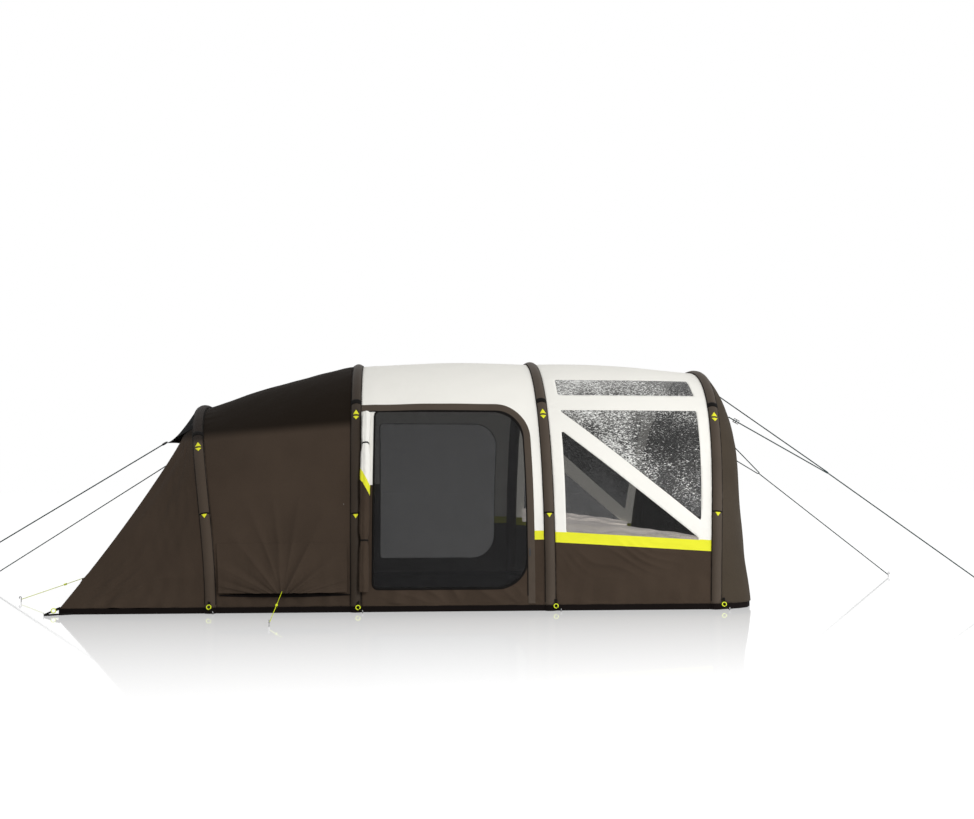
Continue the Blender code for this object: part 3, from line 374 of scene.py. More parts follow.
def seamLine(arch, side):
    # where a panel meets the sleeve: side 1 faces the front, -1 the bedroom end; clear keeps it off the skin
    t = tables[arch]
    angle = radians(sleeve["seamAngle"])
    spread = sleeve["radius"] * cos(angle) + sleeve["clear"]
    return t["centre"] + side * spread * t["across"] + sleeve["radius"] * sin(angle) * t["outward"]


# ---------- mesh making ----------
def setFinish(node, finish):
    # a solid that stays gets a finer material
    slots = frame["nodes"][node].data.materials
    slots.clear()
    slots.append(looks[finish])


def putMesh(name, points, faces, materials, faceMaterial=None, uv=None):
    # points (n, 3), faces (m, 3 or 4) and uv per point as arrays; materials by name
    mesh = bpy.data.meshes.new(name)
    points, faces = np.asarray(points, np.float32), np.asarray(faces, np.int32)
    sides = faces.shape[1]
    mesh.vertices.add(len(points))
    mesh.vertices.foreach_set("co", points.ravel())
    mesh.loops.add(faces.size)
    mesh.loops.foreach_set("vertex_index", faces.ravel())
    mesh.polygons.add(len(faces))
    mesh.polygons.foreach_set("loop_start", np.arange(0, faces.size, sides, dtype=np.int32))
    mesh.polygons.foreach_set("loop_total", np.full(len(faces), sides, np.int32))
    if uv is not None:
        layer = mesh.uv_layers.new(name="clothUV")
        layer.data.foreach_set("uv", np.asarray(uv, np.float32)[faces.ravel()].ravel())
    for one in materials:
        mesh.materials.append(looks[one])
    if faceMaterial is not None:
        mesh.polygons.foreach_set("material_index", np.asarray(faceMaterial, np.int32))
    mesh.update(calc_edges=True)
    mesh.validate()
    mesh.shade_smooth()
    return showObject(name, mesh)


def gridFaces(rows, columns, closed=False):
    # quads of a rows x columns grid; closed joins the last column to the first
    i = np.arange(rows - 1)[:, None]
    j = np.arange(columns if closed else columns - 1)[None, :]
    k = (j + 1) % columns
    return np.stack([i * columns + j, i * columns + k, (i + 1) * columns + k, (i + 1) * columns + j], -1)


def shareGrid(columns, rows, low=0):
    # two grids of shares: one from low to 1 down the columns, the other from 0 to 1 along the rows
    return np.meshgrid(np.linspace(low, 1, columns), np.linspace(0, 1, rows), indexing="ij")


def normalsOf(grid):
    # the grid's unit normals, rows crossed with columns
    return unit(np.cross(np.gradient(grid, axis=0), np.gradient(grid, axis=1)))


def clothUv(grid):
    # distances along the cloth in metres, each way from the grid's first row and column
    across = np.linalg.norm(np.diff(grid, axis=0), axis=2)
    along = np.linalg.norm(np.diff(grid, axis=1), axis=2)
    u = np.vstack([np.zeros((1, grid.shape[1])), np.cumsum(across, axis=0)])
    v = np.hstack([np.zeros((grid.shape[0], 1)), np.cumsum(along, axis=1)])
    return np.stack([u, v], -1)


def thicken(piece, kind="cloth", inner=0, offset=-1.0):
    # cloth gets its thickness inwards; its inner side takes the material slots from inner on
    made = piece.modifiers.new("clothThickness", "SOLIDIFY")
    made.thickness = thick[kind]
    made.offset = offset
    made.use_even_offset = False
    made.material_offset = inner
    return piece


def dress(piece, body, slotName, *nodes):
    # a finished piece rides on its body, takes its slot, and stands for its solids
    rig.ride(piece, body)
    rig.slot(piece, slotName)
    if nodes:
        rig.replaces(piece, *nodes)
    return piece


def outlineDistance(x, z, outline):
    # signed distance to a closed outline in X and Z, positive outside, and the nearest point on it
    a, b = outline, np.roll(outline, -1, axis=0)
    px, pz = x[..., None], z[..., None]
    edge = b - a
    share = ((px - a[:, 0]) * edge[:, 0] + (pz - a[:, 1]) * edge[:, 1]) / (edge**2).sum(1)
    share = share.clip(0, 1)
    nx, nz = a[:, 0] + share * edge[:, 0], a[:, 1] + share * edge[:, 1]
    gap = np.hypot(px - nx, pz - nz)
    best = gap.argmin(-1)
    pick = np.take_along_axis
    near = np.stack([pick(nx, best[..., None], -1)[..., 0], pick(nz, best[..., None], -1)[..., 0]], -1)
    crosses = ((a[:, 1] > pz) != (b[:, 1] > pz)) & (
        px < a[:, 0] + (pz - a[:, 1]) / np.where(edge[:, 1] == 0, 1e-12, edge[:, 1]) * edge[:, 0]
    )
    inside = crosses.sum(-1) % 2 == 1
    return np.where(inside, -1, 1) * gap.min(-1), near


def trimGrid(grid, keep, outline, inside, side=0, axes=(0, 2)):
    # drops the grid's faces on one side of an outline seen along an axis, and slides the new border onto it
    a, b = axes
    depth = 3 - a - b
    away, near = outlineDistance(grid[..., a], grid[..., b], outline)
    if side:
        away = np.where(grid[..., 1] * side > 0, away, 9.0)
    middle = (away[:-1, :-1] + away[1:, :-1] + away[:-1, 1:] + away[1:, 1:]) / 4
    stay = keep & ((middle < 0) if inside else (middle > 0))
    lost = keep & ((middle > 0) if inside else (middle < 0))
    border = touched(stay, grid.shape[:2]) & touched(lost, grid.shape[:2]) & (np.abs(away) < 1)
    normal = normalsOf(grid)
    da, db = near[..., 0] - grid[..., a], near[..., 1] - grid[..., b]
    steep = np.where(np.abs(normal[..., depth]) < 0.05, 1.0, normal[..., depth])
    slide = -(normal[..., a] * da + normal[..., b] * db) / steep
    move = np.zeros(grid.shape)
    move[..., a], move[..., b], move[..., depth] = da, db, slide
    return np.where(border[..., None], grid + move, grid), stay


def touched(faces, shape):
    # which points of a grid belong to the marked faces
    marks = np.zeros(shape, bool)
    for di in (0, 1):
        for dj in (0, 1):
            marks[di : shape[0] - 1 + di, dj : shape[1] - 1 + dj] |= faces
    return marks


def clothFromGrid(name, grid, materials, bands=None, keep=None, outside=(0.3, 0, 9.0)):
    # a cloth mesh from a grid, its faces turned to a point outside; bands gives each face's material
    faces = gridFaces(*grid.shape[:2])
    mask = np.ones(faces.shape[:2], bool) if keep is None else keep
    flat = faces[mask]
    a, b, c, d = (grid.reshape(-1, 3)[flat[:, i]] for i in range(4))
    if (np.cross(c - a, d - b) * (np.asarray(outside) - a)).sum() < 0:
        flat = flat[:, ::-1]
    uv = clothUv(grid).reshape(-1, 2)
    used = np.zeros(grid.shape[0] * grid.shape[1], bool)
    used[flat.ravel()] = True
    index = np.cumsum(used) - 1
    kinds = None if bands is None else np.broadcast_to(bands, mask.shape)[mask]
    return putMesh(name, grid.reshape(-1, 3)[used], index[flat], materials, kinds, uv[used])


def clothArea(grid, keep=None):
    # the area of a grid's faces that stay, in square metres
    a, b, c, d = grid[:-1, :-1], grid[1:, :-1], grid[1:, 1:], grid[:-1, 1:]
    cross = np.linalg.norm(np.cross(c - a, d - b), axis=-1) / 2
    return float(cross[np.ones(cross.shape, bool) if keep is None else keep].sum())


def hangSheet(piece, size, area, held="stretched", rests=()):
    # what the cloth was cut from, (width, length), and the area left of it
    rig.sheet(piece, size, held, rests, area=min(area, size[0] * size[1]))


def sewPanel(name, grid, materials, node, size, outside, held="stretched", rests=(), kind="cloth"):
    # a brown cloth panel from a whole grid, with its lining, on the tent's own body
    panel = clothFromGrid(name, grid, materials, outside=outside)
    thicken(panel, kind, 1)
    dress(panel, "tent", "brown_fabric", node)
    hangSheet(panel, size, clothArea(grid), held, rests)


def tube(name, line, radius, materials, sides=24, caps=True):
    # a round tube along a line; radius may change along it
    line = np.asarray(line, float)
    tangent = unit(np.gradient(line, axis=0))
    start = np.cross(tangent[0], (0, 0, 1.0))
    if np.linalg.norm(start) < 1e-3:
        start = np.cross(tangent[0], (0, 1.0, 0))
    side = unit(start)
    frames = []
    for t in tangent:
        side = unit(side - t * (side @ t))
        frames.append((side, np.cross(t, side)))
    frames = np.array(frames)
    angle = ringAngles(sides)
    radius = np.broadcast_to(radius, len(line))
    ring = np.cos(angle)[None, :, None] * frames[:, None, 0] + np.sin(angle)[None, :, None] * frames[:, None, 1]
    points = line[:, None] + radius[:, None, None] * ring
    faces = gridFaces(len(line), sides, closed=True).reshape(-1, 4)
    length = lengthAlong(line)
    uv = np.stack(np.broadcast_arrays(angle[None, :] * radius[:, None], length[:, None]), -1).reshape(-1, 2)
    points = points.reshape(-1, 3)
    if caps:
        first, last = len(points), len(points) + 1
        points = np.vstack([points, line[0], line[-1]])
        uv = np.vstack([uv, (0, 0), (0, length[-1])])
        j = np.arange(sides)
        k = (j + 1) % sides
        end = (len(line) - 1) * sides
        lids = [np.stack([np.full(sides, first), k, j], -1), np.stack([np.full(sides, last), end + j, end + k], -1)]
        faces = np.vstack([faces[:, [0, 1, 2]], faces[:, [0, 2, 3]], *lids])
    return putMesh(name, points, faces[:, ::-1], materials, uv=uv)


# ---------- materials ----------
def shaderOf(name, roughness, specular):
    # a material with one surface shader, and the coordinates that it reads
    made, tree = nodesOf(name)
    shader = addNode(tree, "BsdfPrincipled", {"Roughness": roughness, "Specular IOR Level": specular})
    addNode(tree, "OutputMaterial", {"Surface": shader})
    return made, tree, shader, addNode(tree, "TexCoord").outputs


# the uneven things in cloth, cord and plastic: noise, read through colour ramps and bumps
def noiseNode(tree, vector, scale, detail=3.0, distortion=0.0, rough=0.5):
    feeds = {"Vector": vector, "Scale": scale, "Detail": detail, "Distortion": distortion, "Roughness": rough}
    return addNode(tree, "TexNoise", feeds).outputs["Fac"]


def rampNode(tree, value, *stops):
    node = addNode(tree, "ValToRGB", {"Fac": value})
    ramp = node.color_ramp
    while len(ramp.elements) < len(stops):
        ramp.elements.new(0.5)
    for element, (place, colour) in zip(ramp.elements, stops):
        element.position = place
        element.color = (*colour, 1) if isinstance(colour, tuple) else (colour, colour, colour, 1)
    return node.outputs["Color"]


def bumpNode(tree, height, strength, distance, normal=None):
    feeds = {"Strength": strength, "Distance": distance, "Height": height}
    return addNode(tree, "Bump", feeds | ({"Normal": normal} if normal else {}))


def scaled(colour, factor, extra=0.0):
    return tuple(min(1.0, c * factor + extra) for c in colour)


def weaveHeight(tree, coordinates, pitch):
    # threads over and under: |sin u| and |sin v| crossing, at the pitch in metres
    split = addNode(tree, "SeparateXYZ", {0: coordinates})
    turns = [mathNode(tree, "MULTIPLY", split.outputs[i], pi / pitch) for i in (0, 1)]
    return mathNode(tree, "MAXIMUM", *[mathNode(tree, "ABSOLUTE", mathNode(tree, "SINE", turn)) for turn in turns])


def clothMaterial(name, colour, pitch=0.0009, roughness=0.72, shade=None, mottle=0.10, specular=0.18, glow=0.0):
    # plain-woven cloth: weave and fine creases in the bump, blotches of colour. Its painted shade, shade = (low, high,
    # slope, darker colour), darkens it where z - slope * x passes from low to high; glow is painted light, an emission
    # for the daylight that comes through it
    made, tree, shader, place = shaderOf(name, roughness, specular)
    # painted light: an emission in the cloth's own colour, for daylight through it
    if glow:
        feed(tree, shader, "Emission Color", (*colour, 1))
        feed(tree, shader, "Emission Strength", glow)
    feed(tree, shader, "Sheen Weight", 0.02)
    feed(tree, shader, "Sheen Roughness", 0.5)
    blotch, speck = noiseNode(tree, place["Object"], 2.3, 4.0), noiseNode(tree, place["UV"], 420.0, 2.0)
    both = mathNode(tree, "MULTIPLY_ADD", blotch, 0.75, mathNode(tree, "MULTIPLY", speck, 0.25))
    tint = rampNode(tree, both, (0.3, scaled(colour, 1 - mottle)), (0.7, scaled(colour, 1 + mottle)))
    if shade:
        # painted shade: blend towards the darker colour above the slanting line
        low, high, slope, deep = shade
        split = addNode(tree, "SeparateXYZ", {0: place["Object"]})
        level = mathNode(tree, "MULTIPLY_ADD", split.outputs[0], -slope, split.outputs[2])
        reach = {"Value": level, "From Min": low, "From Max": high}
        reach = addNode(tree, "MapRange", reach, interpolation_type="SMOOTHSTEP")
        mix = addNode(tree, "Mix", {"Factor": reach, "A": tint, "B": (*deep, 1)}, data_type="RGBA")
        tint = mix.outputs["Result"]
    feed(tree, shader, "Base Color", tint)
    low = bumpNode(tree, noiseNode(tree, place["UV"], 14.0, 6.0, 0.6), 0.35, 0.006)
    feed(tree, shader, "Normal", bumpNode(tree, weaveHeight(tree, place["UV"], pitch), 0.25, pitch * 0.3, low))
    return made


def cordMaterial(name, colour, twist=0.006):
    # braided cord: fine strands in the bump, at the twist in metres, and wear in the colour
    made, tree, shader, place = shaderOf(name, 0.65, 0.35)
    wear = noiseNode(tree, place["Object"], 40.0, 3.0)
    feed(tree, shader, "Base Color", rampNode(tree, wear, (0.3, scaled(colour, 0.75)), (0.7, scaled(colour, 1.15))))
    strands = noiseNode(tree, place["Object"], 1 / twist, 1.0, 1.5)
    feed(tree, shader, "Normal", bumpNode(tree, strands, 0.25, twist * 0.15))
    return made


def plasticMaterial(name, colour, roughness=0.38, grain=900.0):
    # moulded plastic: a fine satin grain and faint scuffs
    made, tree, shader, place = shaderOf(name, roughness, 0.45)
    scuff = noiseNode(tree, place["Object"], 60.0, 4.0)
    feed(tree, shader, "Base Color", rampNode(tree, scuff, (0.35, colour), (0.75, scaled(colour, 1.25, 0.004))))
    feed(tree, shader, "Roughness", rampNode(tree, scuff, (0.3, roughness), (0.8, min(1, roughness + 0.2))))
    feed(tree, shader, "Normal", bumpNode(tree, noiseNode(tree, place["Object"], grain, 2.0), 0.15, 0.0003))
    return made


def steelMaterial(name):
    # drawn steel rod: dull, with darker spots
    made, tree, shader, place = shaderOf(name, 0.35, 0.5)
    feed(tree, shader, "Metallic", 1.0)
    spots = noiseNode(tree, place["Object"], 120.0, 4.0)
    feed(tree, shader, "Base Color", rampNode(tree, spots, (0.35, (0.30, 0.30, 0.31)), (0.7, (0.55, 0.55, 0.56))))
    feed(tree, shader, "Roughness", rampNode(tree, spots, (0.3, 0.28), (0.8, 0.5)))
    return made


def netMaterial(name, colour, cover, pitch=0.0016):
    # insect net: thread lines by the cloth's own map, with open squares between them
    made, tree, shader, place = shaderOf(name, 0.8, 0.2)
    blotch = noiseNode(tree, place["Object"], 1.6, 3.0)
    feed(tree, shader, "Base Color", rampNode(tree, blotch, (0.3, scaled(colour, 0.9)), (0.7, scaled(colour, 1.15))))
    weave = weaveHeight(tree, place["UV"], pitch)
    threads = {"Value": weave, "From Min": 0.35, "From Max": 0.75, "To Min": cover - 0.30, "To Max": cover + 0.06}
    feed(tree, shader, "Alpha", addNode(tree, "MapRange", threads))
    return made


def filmMaterial(name):
    # clear window film: small sharp crinkles, their painted highlights milky white in the base colour, in larger fields
    # of painted reflection that are darker to the front and lower down
    made, tree, shader, place = shaderOf(name, 0.14, 0.5)
    turned = {"Vector": place["UV"], "Rotation": (0, 0, radians(-38)), "Scale": (1.0, 1.9, 1.0)}
    slanting = addNode(tree, "Mapping", turned)
    fineGrain = noiseNode(tree, slanting, 56.0, 3.0, 0.9, 0.60)
    crinkle = noiseNode(tree, slanting, 24.0, 3.0, 1.2, 0.60)
    split = addNode(tree, "SeparateXYZ", {0: place["Object"]})
    lift = mathNode(tree, "MULTIPLY_ADD", split.outputs[2], 0.035, 0.070)
    paintedReflectionFade = mathNode(tree, "MULTIPLY_ADD", split.outputs[0], -0.065, lift)
    grain = mathNode(tree, "MULTIPLY_ADD", fineGrain, 0.62, mathNode(tree, "MULTIPLY", crinkle, 0.22))
    wide = mathNode(tree, "MULTIPLY_ADD", noiseNode(tree, place["UV"], 2.6, 2.0, 0.3), 0.24, paintedReflectionFade)
    mixed = mathNode(tree, "ADD", grain, wide)
    # the ramp paints highlight and reflection into the colour: clear and dark where low, milky white where high
    stops = [(0.46, 0.008), (0.52, 0.035), (0.565, (0.18, 0.18, 0.17)), (0.63, (0.90, 0.90, 0.87))]
    feed(tree, shader, "Base Color", rampNode(tree, mixed, *stops))
    feed(tree, shader, "Alpha", rampNode(tree, mixed, (0.46, 0.58), (0.60, 0.90)))
    feed(tree, shader, "Normal", bumpNode(tree, fineGrain, 0.5, 0.008))
    return made


# painted shade: the brown roof, and the rear sleeve above its band, darker above a slanting line where less light falls
paintedRoofShade = (1.46, 1.56, 0.077, (0.0125, 0.0085, 0.0055))
paintedRearSleeveShade = (1.44, 1.50, 0.077, (0.016, 0.011, 0.008))
cloths = {
    "brownCloth": {"colour": (0.0555, 0.0395, 0.0285), "roughness": 0.9, "specular": 0.04, "shade": paintedRoofShade},
    "sleeveCloth": {"colour": (0.065, 0.049, 0.036), "roughness": 0.62},
    "rearSleeveCloth": {"colour": (0.066, 0.049, 0.036), "roughness": 0.7, "specular": 0.10, "shade": paintedRearSleeveShade},
    # painted shade: a darker copy of the sleeve cloth for the bedroom sleeve, which stands in shade
    "deepSleeveCloth": {"colour": (0.034, 0.024, 0.016), "roughness": 0.62},
    "frontCloth": {"colour": (0.054, 0.042, 0.030), "roughness": 0.9, "specular": 0.08},
    "visorCloth": {"colour": (0.010, 0.010, 0.010), "roughness": 0.95, "specular": 0.02},
    "whiteCloth": {"colour": (0.875, 0.860, 0.805), "mottle": 0.02, "specular": 0.3},
    "neonCloth": {"colour": (0.79, 0.79, 0.030), "mottle": 0.04},
    "skirtCloth": {"colour": (0.008, 0.006, 0.0055), "roughness": 0.9, "specular": 0.04},
    # painted light: the glow of the linings, the curtain and the neon lining is emission for daylight through the cloth
    "liningCloth": {"colour": (0.055, 0.050, 0.045), "glow": 0.1},
    "whiteLining": {"colour": (0.50, 0.49, 0.46), "mottle": 0.04, "glow": 0.24},
    "windowLining": {"colour": (0.60, 0.585, 0.54), "mottle": 0.04, "glow": 0.72},
    "curtainCloth": {"colour": (0.82, 0.76, 0.72), "mottle": 0.30, "glow": 1.0},
    "neonLining": {"colour": (0.40, 0.42, 0.03), "mottle": 0.04, "glow": 0.16},
    "dividerCloth": {"colour": (0.30, 0.29, 0.27)},
    "trimCloth": {"colour": (0.066, 0.050, 0.037), "pitch": 0.0014},
    "webbing": {"colour": (0.010, 0.009, 0.0085), "pitch": 0.0018, "roughness": 0.9, "specular": 0.04},
}
looks = {name: clothMaterial(name, **facts) for name, facts in cloths.items()}
looks |= {
    "insectNet": netMaterial("insectNet", (0.013, 0.013, 0.0135), 0.55),
    "windowNet": netMaterial("windowNet", (0.016, 0.016, 0.016), 0.50),
    "clearFilm": filmMaterial("clearFilm"),
    "stormCord": cordMaterial("stormCord", (0.020, 0.043, 0.043)),
    "neonCord": cordMaterial("neonCord", (0.72, 0.82, 0.010)),
    "blackPlastic": plasticMaterial("blackPlastic", (0.014, 0.014, 0.015)),
    "neonPlastic": plasticMaterial("neonPlastic", (0.70, 0.82, 0.010)),
    "tubeFilm": plasticMaterial("tubeFilm", (0.32, 0.33, 0.35), roughness=0.3),
    "pegSteel": steelMaterial("pegSteel"),
}
print("materials are made")

# ---------- ropes, guys and pegs ----------
ropes = {
    "rear": {"start": (-2.05415, -0.74497, 1.34084), "end": (-4.13359, -0.99922, 0.0225)},
    "front": {"start": (3.58728, -0.99251, 1.07229), "end": (5.00833, -1.19903, 0.0225)},
}
cordKinds = {"rope": (0.010, "stormCord", "black_cord"), "guy": (0.005, "neonCord", "neon_cord")}
guys = {
    "side_vent": {"start": (-0.98433, -1.76406, 0.17044), "end": (-0.99991, -2.49571, 0.0225), "peg": (-1.00, -2.50)},
    "rear_vent": {"start": (-2.67431, -0.85036, 0.21603), "end": (-3.23953, -0.72102, 0.0225), "peg": (-3.244, -0.72)},
}
bridle = {
    "upper": (2.74664, -0.48499, 1.78419),
    "lower": (2.73696, -0.91899, 1.55967),
    "knot": (3.57, -0.99, 1.085),
    "loop": 0.016,
}
pegs = {"height": 0.045, "hook": 0.016, "radius": 0.0035, "tip": 0.010, "rear": (-4.14, 1.0), "front": (5.015, 1.2)}


def cordCurve(name, route, diameter, finish):
    # one open line through the route's points, with a round section
    curve = bpy.data.curves.new(name, "CURVE")
    curve.dimensions = "3D"
    curve.bevel_depth = diameter / 2
    curve.bevel_resolution = 4
    curve.use_fill_caps = True
    spline = curve.splines.new("POLY")
    spline.points.add(len(route) - 1)
    spline.points.foreach_set("co", np.hstack([route, np.ones((len(route), 1))]).ravel())
    curve.materials.append(looks[finish])
    return showObject(name, curve)


def straightLine(start, end, count=24):
    share = np.linspace(0, 1, count)[:, None]
    return np.asarray(start) * (1 - share) + np.asarray(end) * share


def lineLength(route):
    return float(np.linalg.norm(np.diff(route, axis=0), axis=1).sum())


def makePeg(name, x, y, away):
    # a bent rod: straight up, over through a half turn, and a short way down again
    away = np.array([away[0], away[1], 0.0]) / np.hypot(away[0], away[1])
    turn = np.linspace(pi, 0.12, 12)
    bend = pegs["hook"] / 2
    top = pegs["height"] - bend
    rise = np.linspace(0, top, 6)[:-1]
    out = np.concatenate([np.zeros(5), bend + bend * np.cos(turn)])
    up = np.concatenate([rise, top + bend * np.sin(turn)])
    line = np.array([x, y, 0.0]) + out[:, None] * away + up[:, None] * np.array([0, 0, 1.0])
    line = np.vstack([line, line[-1] - (0, 0, pegs["tip"])])
    return dress(tube(name + "Rod", line, pegs["radius"], ["pegSteel"], 12), "tent", "steel", name)


def tautCord(name, node, route, kind, peg=None):
    # a cord drawn taut along its route, from the tent to a peg, or back to the tent where it has none
    diameter, finish, slotName = cordKinds[kind]
    piece = dress(cordCurve(name, route, diameter, finish), "tent", slotName, node)
    facts = (piece, tuple(route[0]), lineLength(route), diameter)
    if peg:
        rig.cord(*facts, "fitting", "limp", "taut", with_pieces=[peg])
    else:
        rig.cord(*facts, "object", "limp", "taut")


def bridleRoute():
    # from the upper anchor round the eye of the main rope and back up to the lower anchor
    upper, lower, knot = (np.array(bridle[k]) for k in ("upper", "lower", "knot"))
    ahead = unit(knot - (upper + lower) / 2)
    aside = unit((upper - lower) - ahead * ((upper - lower) @ ahead))
    angles = np.radians(np.linspace(95, -95, 7))[:, None]
    turn = knot + bridle["loop"] * (np.cos(angles) * ahead + np.sin(angles) * aside)
    return np.vstack([straightLine(upper, turn[0], 12)[:-1], turn, straightLine(turn[-1], lower, 12)[1:]])


def makeRopes():
    for word, side in sideOf.items():
        mirror = np.array((1, -side, 1))
        for end, away in (("rear", -1), ("front", 1)):
            x, y = pegs[end]
            peg = makePeg(f"{end}_peg_{word}", x, side * y, (away, side * y * 0.15))
            route = straightLine(**ropes[end]) * mirror
            tautCord(f"{end}Rope_{word}", f"{end}_rope_{word}", route, "rope", peg)
        tautCord(f"frontBridle_{word}", f"front_bridle_{word}", bridleRoute() * mirror, "rope")
    for name, facts in guys.items():
        away = np.array(facts["peg"]) - np.array(facts["start"][:2])
        peg = makePeg(name + "_peg", *facts["peg"], away)
        route = straightLine(facts["start"], facts["end"])
        tautCord(name.replace("_v", "V") + "Guy", name + "_guy", route, "guy", peg)


makeRopes()
print("ropes, guys and pegs are made")

# ---------- sleeves and air beams ----------
def beamRings(arch, radius, s, sides):
    # rings round an arch's line at shares s; the rings at the feet are cut level
    t = tables[arch]
    centre, tangent, outward, across = (at(t[k], s)[:, None] for k in ("centre", "tangent", "outward", "across"))
    angle = ringAngles(sides)[None, :, None]
    circle = np.cos(angle) * across + np.sin(angle) * outward
    rings = centre + np.broadcast_to(radius, (len(s), sides))[..., None] * circle
    level = (tent["footZ"] - rings[..., 2]) / np.abs(tangent[..., 2]).clip(0.5)
    slide = np.where((rings[..., 2] < tent["footZ"]) | (np.isin(s, (0, 1))[:, None]), level, 0)
    rings[..., 2] += slide
    return rings


def ringTube(name, rings, materials, faceMaterial=None):
    # an open tube through rings of points
    count, sides = rings.shape[:2]
    faces = gridFaces(count, sides, closed=True)
    along = lengthAlong(rings.mean(1))
    girth = np.linalg.norm(rings[0, 0] - rings[0].mean(0)) * 2 * pi / sides
    uv = np.stack(np.broadcast_arrays((np.arange(sides) * girth)[None, :], along[:, None]), -1)
    kinds = None if faceMaterial is None else faceMaterial.ravel()
    return putMesh(name, rings.reshape(-1, 3), faces.reshape(-1, 4)[:, ::-1], materials, kinds, uv.reshape(-1, 2))


# the rear sleeve's cloth has painted shade at its top; the bedroom sleeve's is a darker copy, painted shade
sleeveCloths = {"rear": "rearSleeveCloth", "bedroom": "deepSleeveCloth"}
flange = [(0.030, 0.0), (0.030, 0.022), (0.0545, 0.022), (0.056, 0.0205), (0.056, 0.0155)]
collar = [(0.0575, 0.014), (0.0685, 0.014), (0.070, 0.0125), (0.070, 0.0)]
valve = {"share": 1 / 22, "profile": flange + collar}  # share of the arch's length, up the near leg


def makeSleeve(arch, seed):
    # the skin's radius r = sleeve radius + soft bulges along it + small puckers at the two seams
    s = np.linspace(0, 1, 421)
    sides = 48
    angle = ringAngles(sides)
    metres = s[:, None] * tables[arch]["length"]
    bulge = 0.0007 * ripple(metres * 3.0, angle[None, :] * 0.3, seed)
    seam = np.exp(-(((np.sin(angle) - 0.45) / 0.22) ** 2))[None, :] * (np.abs(np.cos(angle)) > 0.5)
    pucker = 0.0008 * seam * ripple(metres * 22.0, 0.0, seed + 1, 5)
    rings = beamRings(arch, sleeve["skin"] + bulge + pucker, s, sides)
    skin = ringTube(arch + "Sleeve", rings, [sleeveCloths.get(arch, "sleeveCloth"), "liningCloth"])
    thicken(skin, inner=1)
    dress(skin, "tent", "brown_fabric", arch + "_beam_sleeve")
    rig.sheet(skin, (2 * pi * sleeve["skin"], tables[arch]["length"]), "stretched", [arch + "AirBeam"])


def makeAirBeam(arch):
    # the bladder's tube, and its valve standing in towards the living space
    s = np.linspace(0, 1, 201)
    rings = beamRings(arch, sleeve["bladder"], s, 32)
    dress(ringTube(arch + "AirBeam", rings, ["tubeFilm"]), "tent", "bladder_film", arch + "_air_beam")
    axis, point = valveFrame(arch)
    dress(lathe(arch + "Valve", point, axis, valve["profile"], ["blackPlastic"]), "tent", "black_plastic")


def valveFrame(arch):
    # the valve's inward axis, and its point on the beam's line
    outward, centre = (at(tables[arch][k], [valve["share"]])[0] for k in ("outward", "centre"))
    return -outward, centre


def lathe(name, base, axis, profile, materials, sides=40):
    # a turned shape: (distance along the axis, radius) pairs
    side = unit(np.cross(axis, (0, 0, 1.0)) if abs(axis[2]) < 0.9 else np.cross(axis, (1.0, 0, 0)))
    other = np.cross(axis, side)
    angle = ringAngles(sides)
    circle = np.cos(angle)[:, None] * side + np.sin(angle)[:, None] * other
    points = np.vstack([base + axis * h + circle * max(r, 1e-5) for h, r in profile])
    faces = gridFaces(len(profile), sides, closed=True).reshape(-1, 4)
    piece = putMesh(name, points, faces, materials)
    piece.data.set_sharp_from_angle(angle=radians(35))
    return piece


for number, arch in enumerate(arches):
    makeAirBeam(arch)
    makeSleeve(arch, 20 + 3 * number)
print("sleeves and air beams are made")

# ---------- the bays' surface ----------
bays = {
    "bedroom": {"arches": ("rear", "bedroom"), "seed": 101, "rise": 0.024},
    "door": {"arches": ("bedroom", "door"), "seed": 202, "rise": 0.024},
    "window": {"arches": ("door", "front"), "seed": 303, "rise": 0.024},
}
for facts in bays.values():
    rear, front = facts["arches"]
    facts["lines"] = (seamLine(rear, 1), seamLine(front, -1))
    facts["pull"] = unit(np.cross((1.0, 0, 0), np.gradient(facts["lines"][0] + facts["lines"][1], axis=0)))
    facts["girth"] = (tables[rear]["length"] + tables[front]["length"]) / 2


def bayPoint(bay, u, s, out=0.0, creased=True):
    # straight from seam to seam, made full by rise * 4u(1-u) * sin(pi s), with billows, puckers and creases
    facts = bays[bay]
    a, b = (at(line, s) for line in facts["lines"])
    u, s = np.broadcast_arrays(u, s)
    point = a * (1 - u[..., None]) + b * u[..., None]
    depth = facts["rise"] * 4 * u * (1 - u) * np.sin(pi * s)
    if creased:
        depth = depth + creases(bay, u, s, point[..., 2])
    return point + at(facts["pull"], s) * (depth + out)[..., None]


hingeShare, ridgeEase = 0.066, 0.02


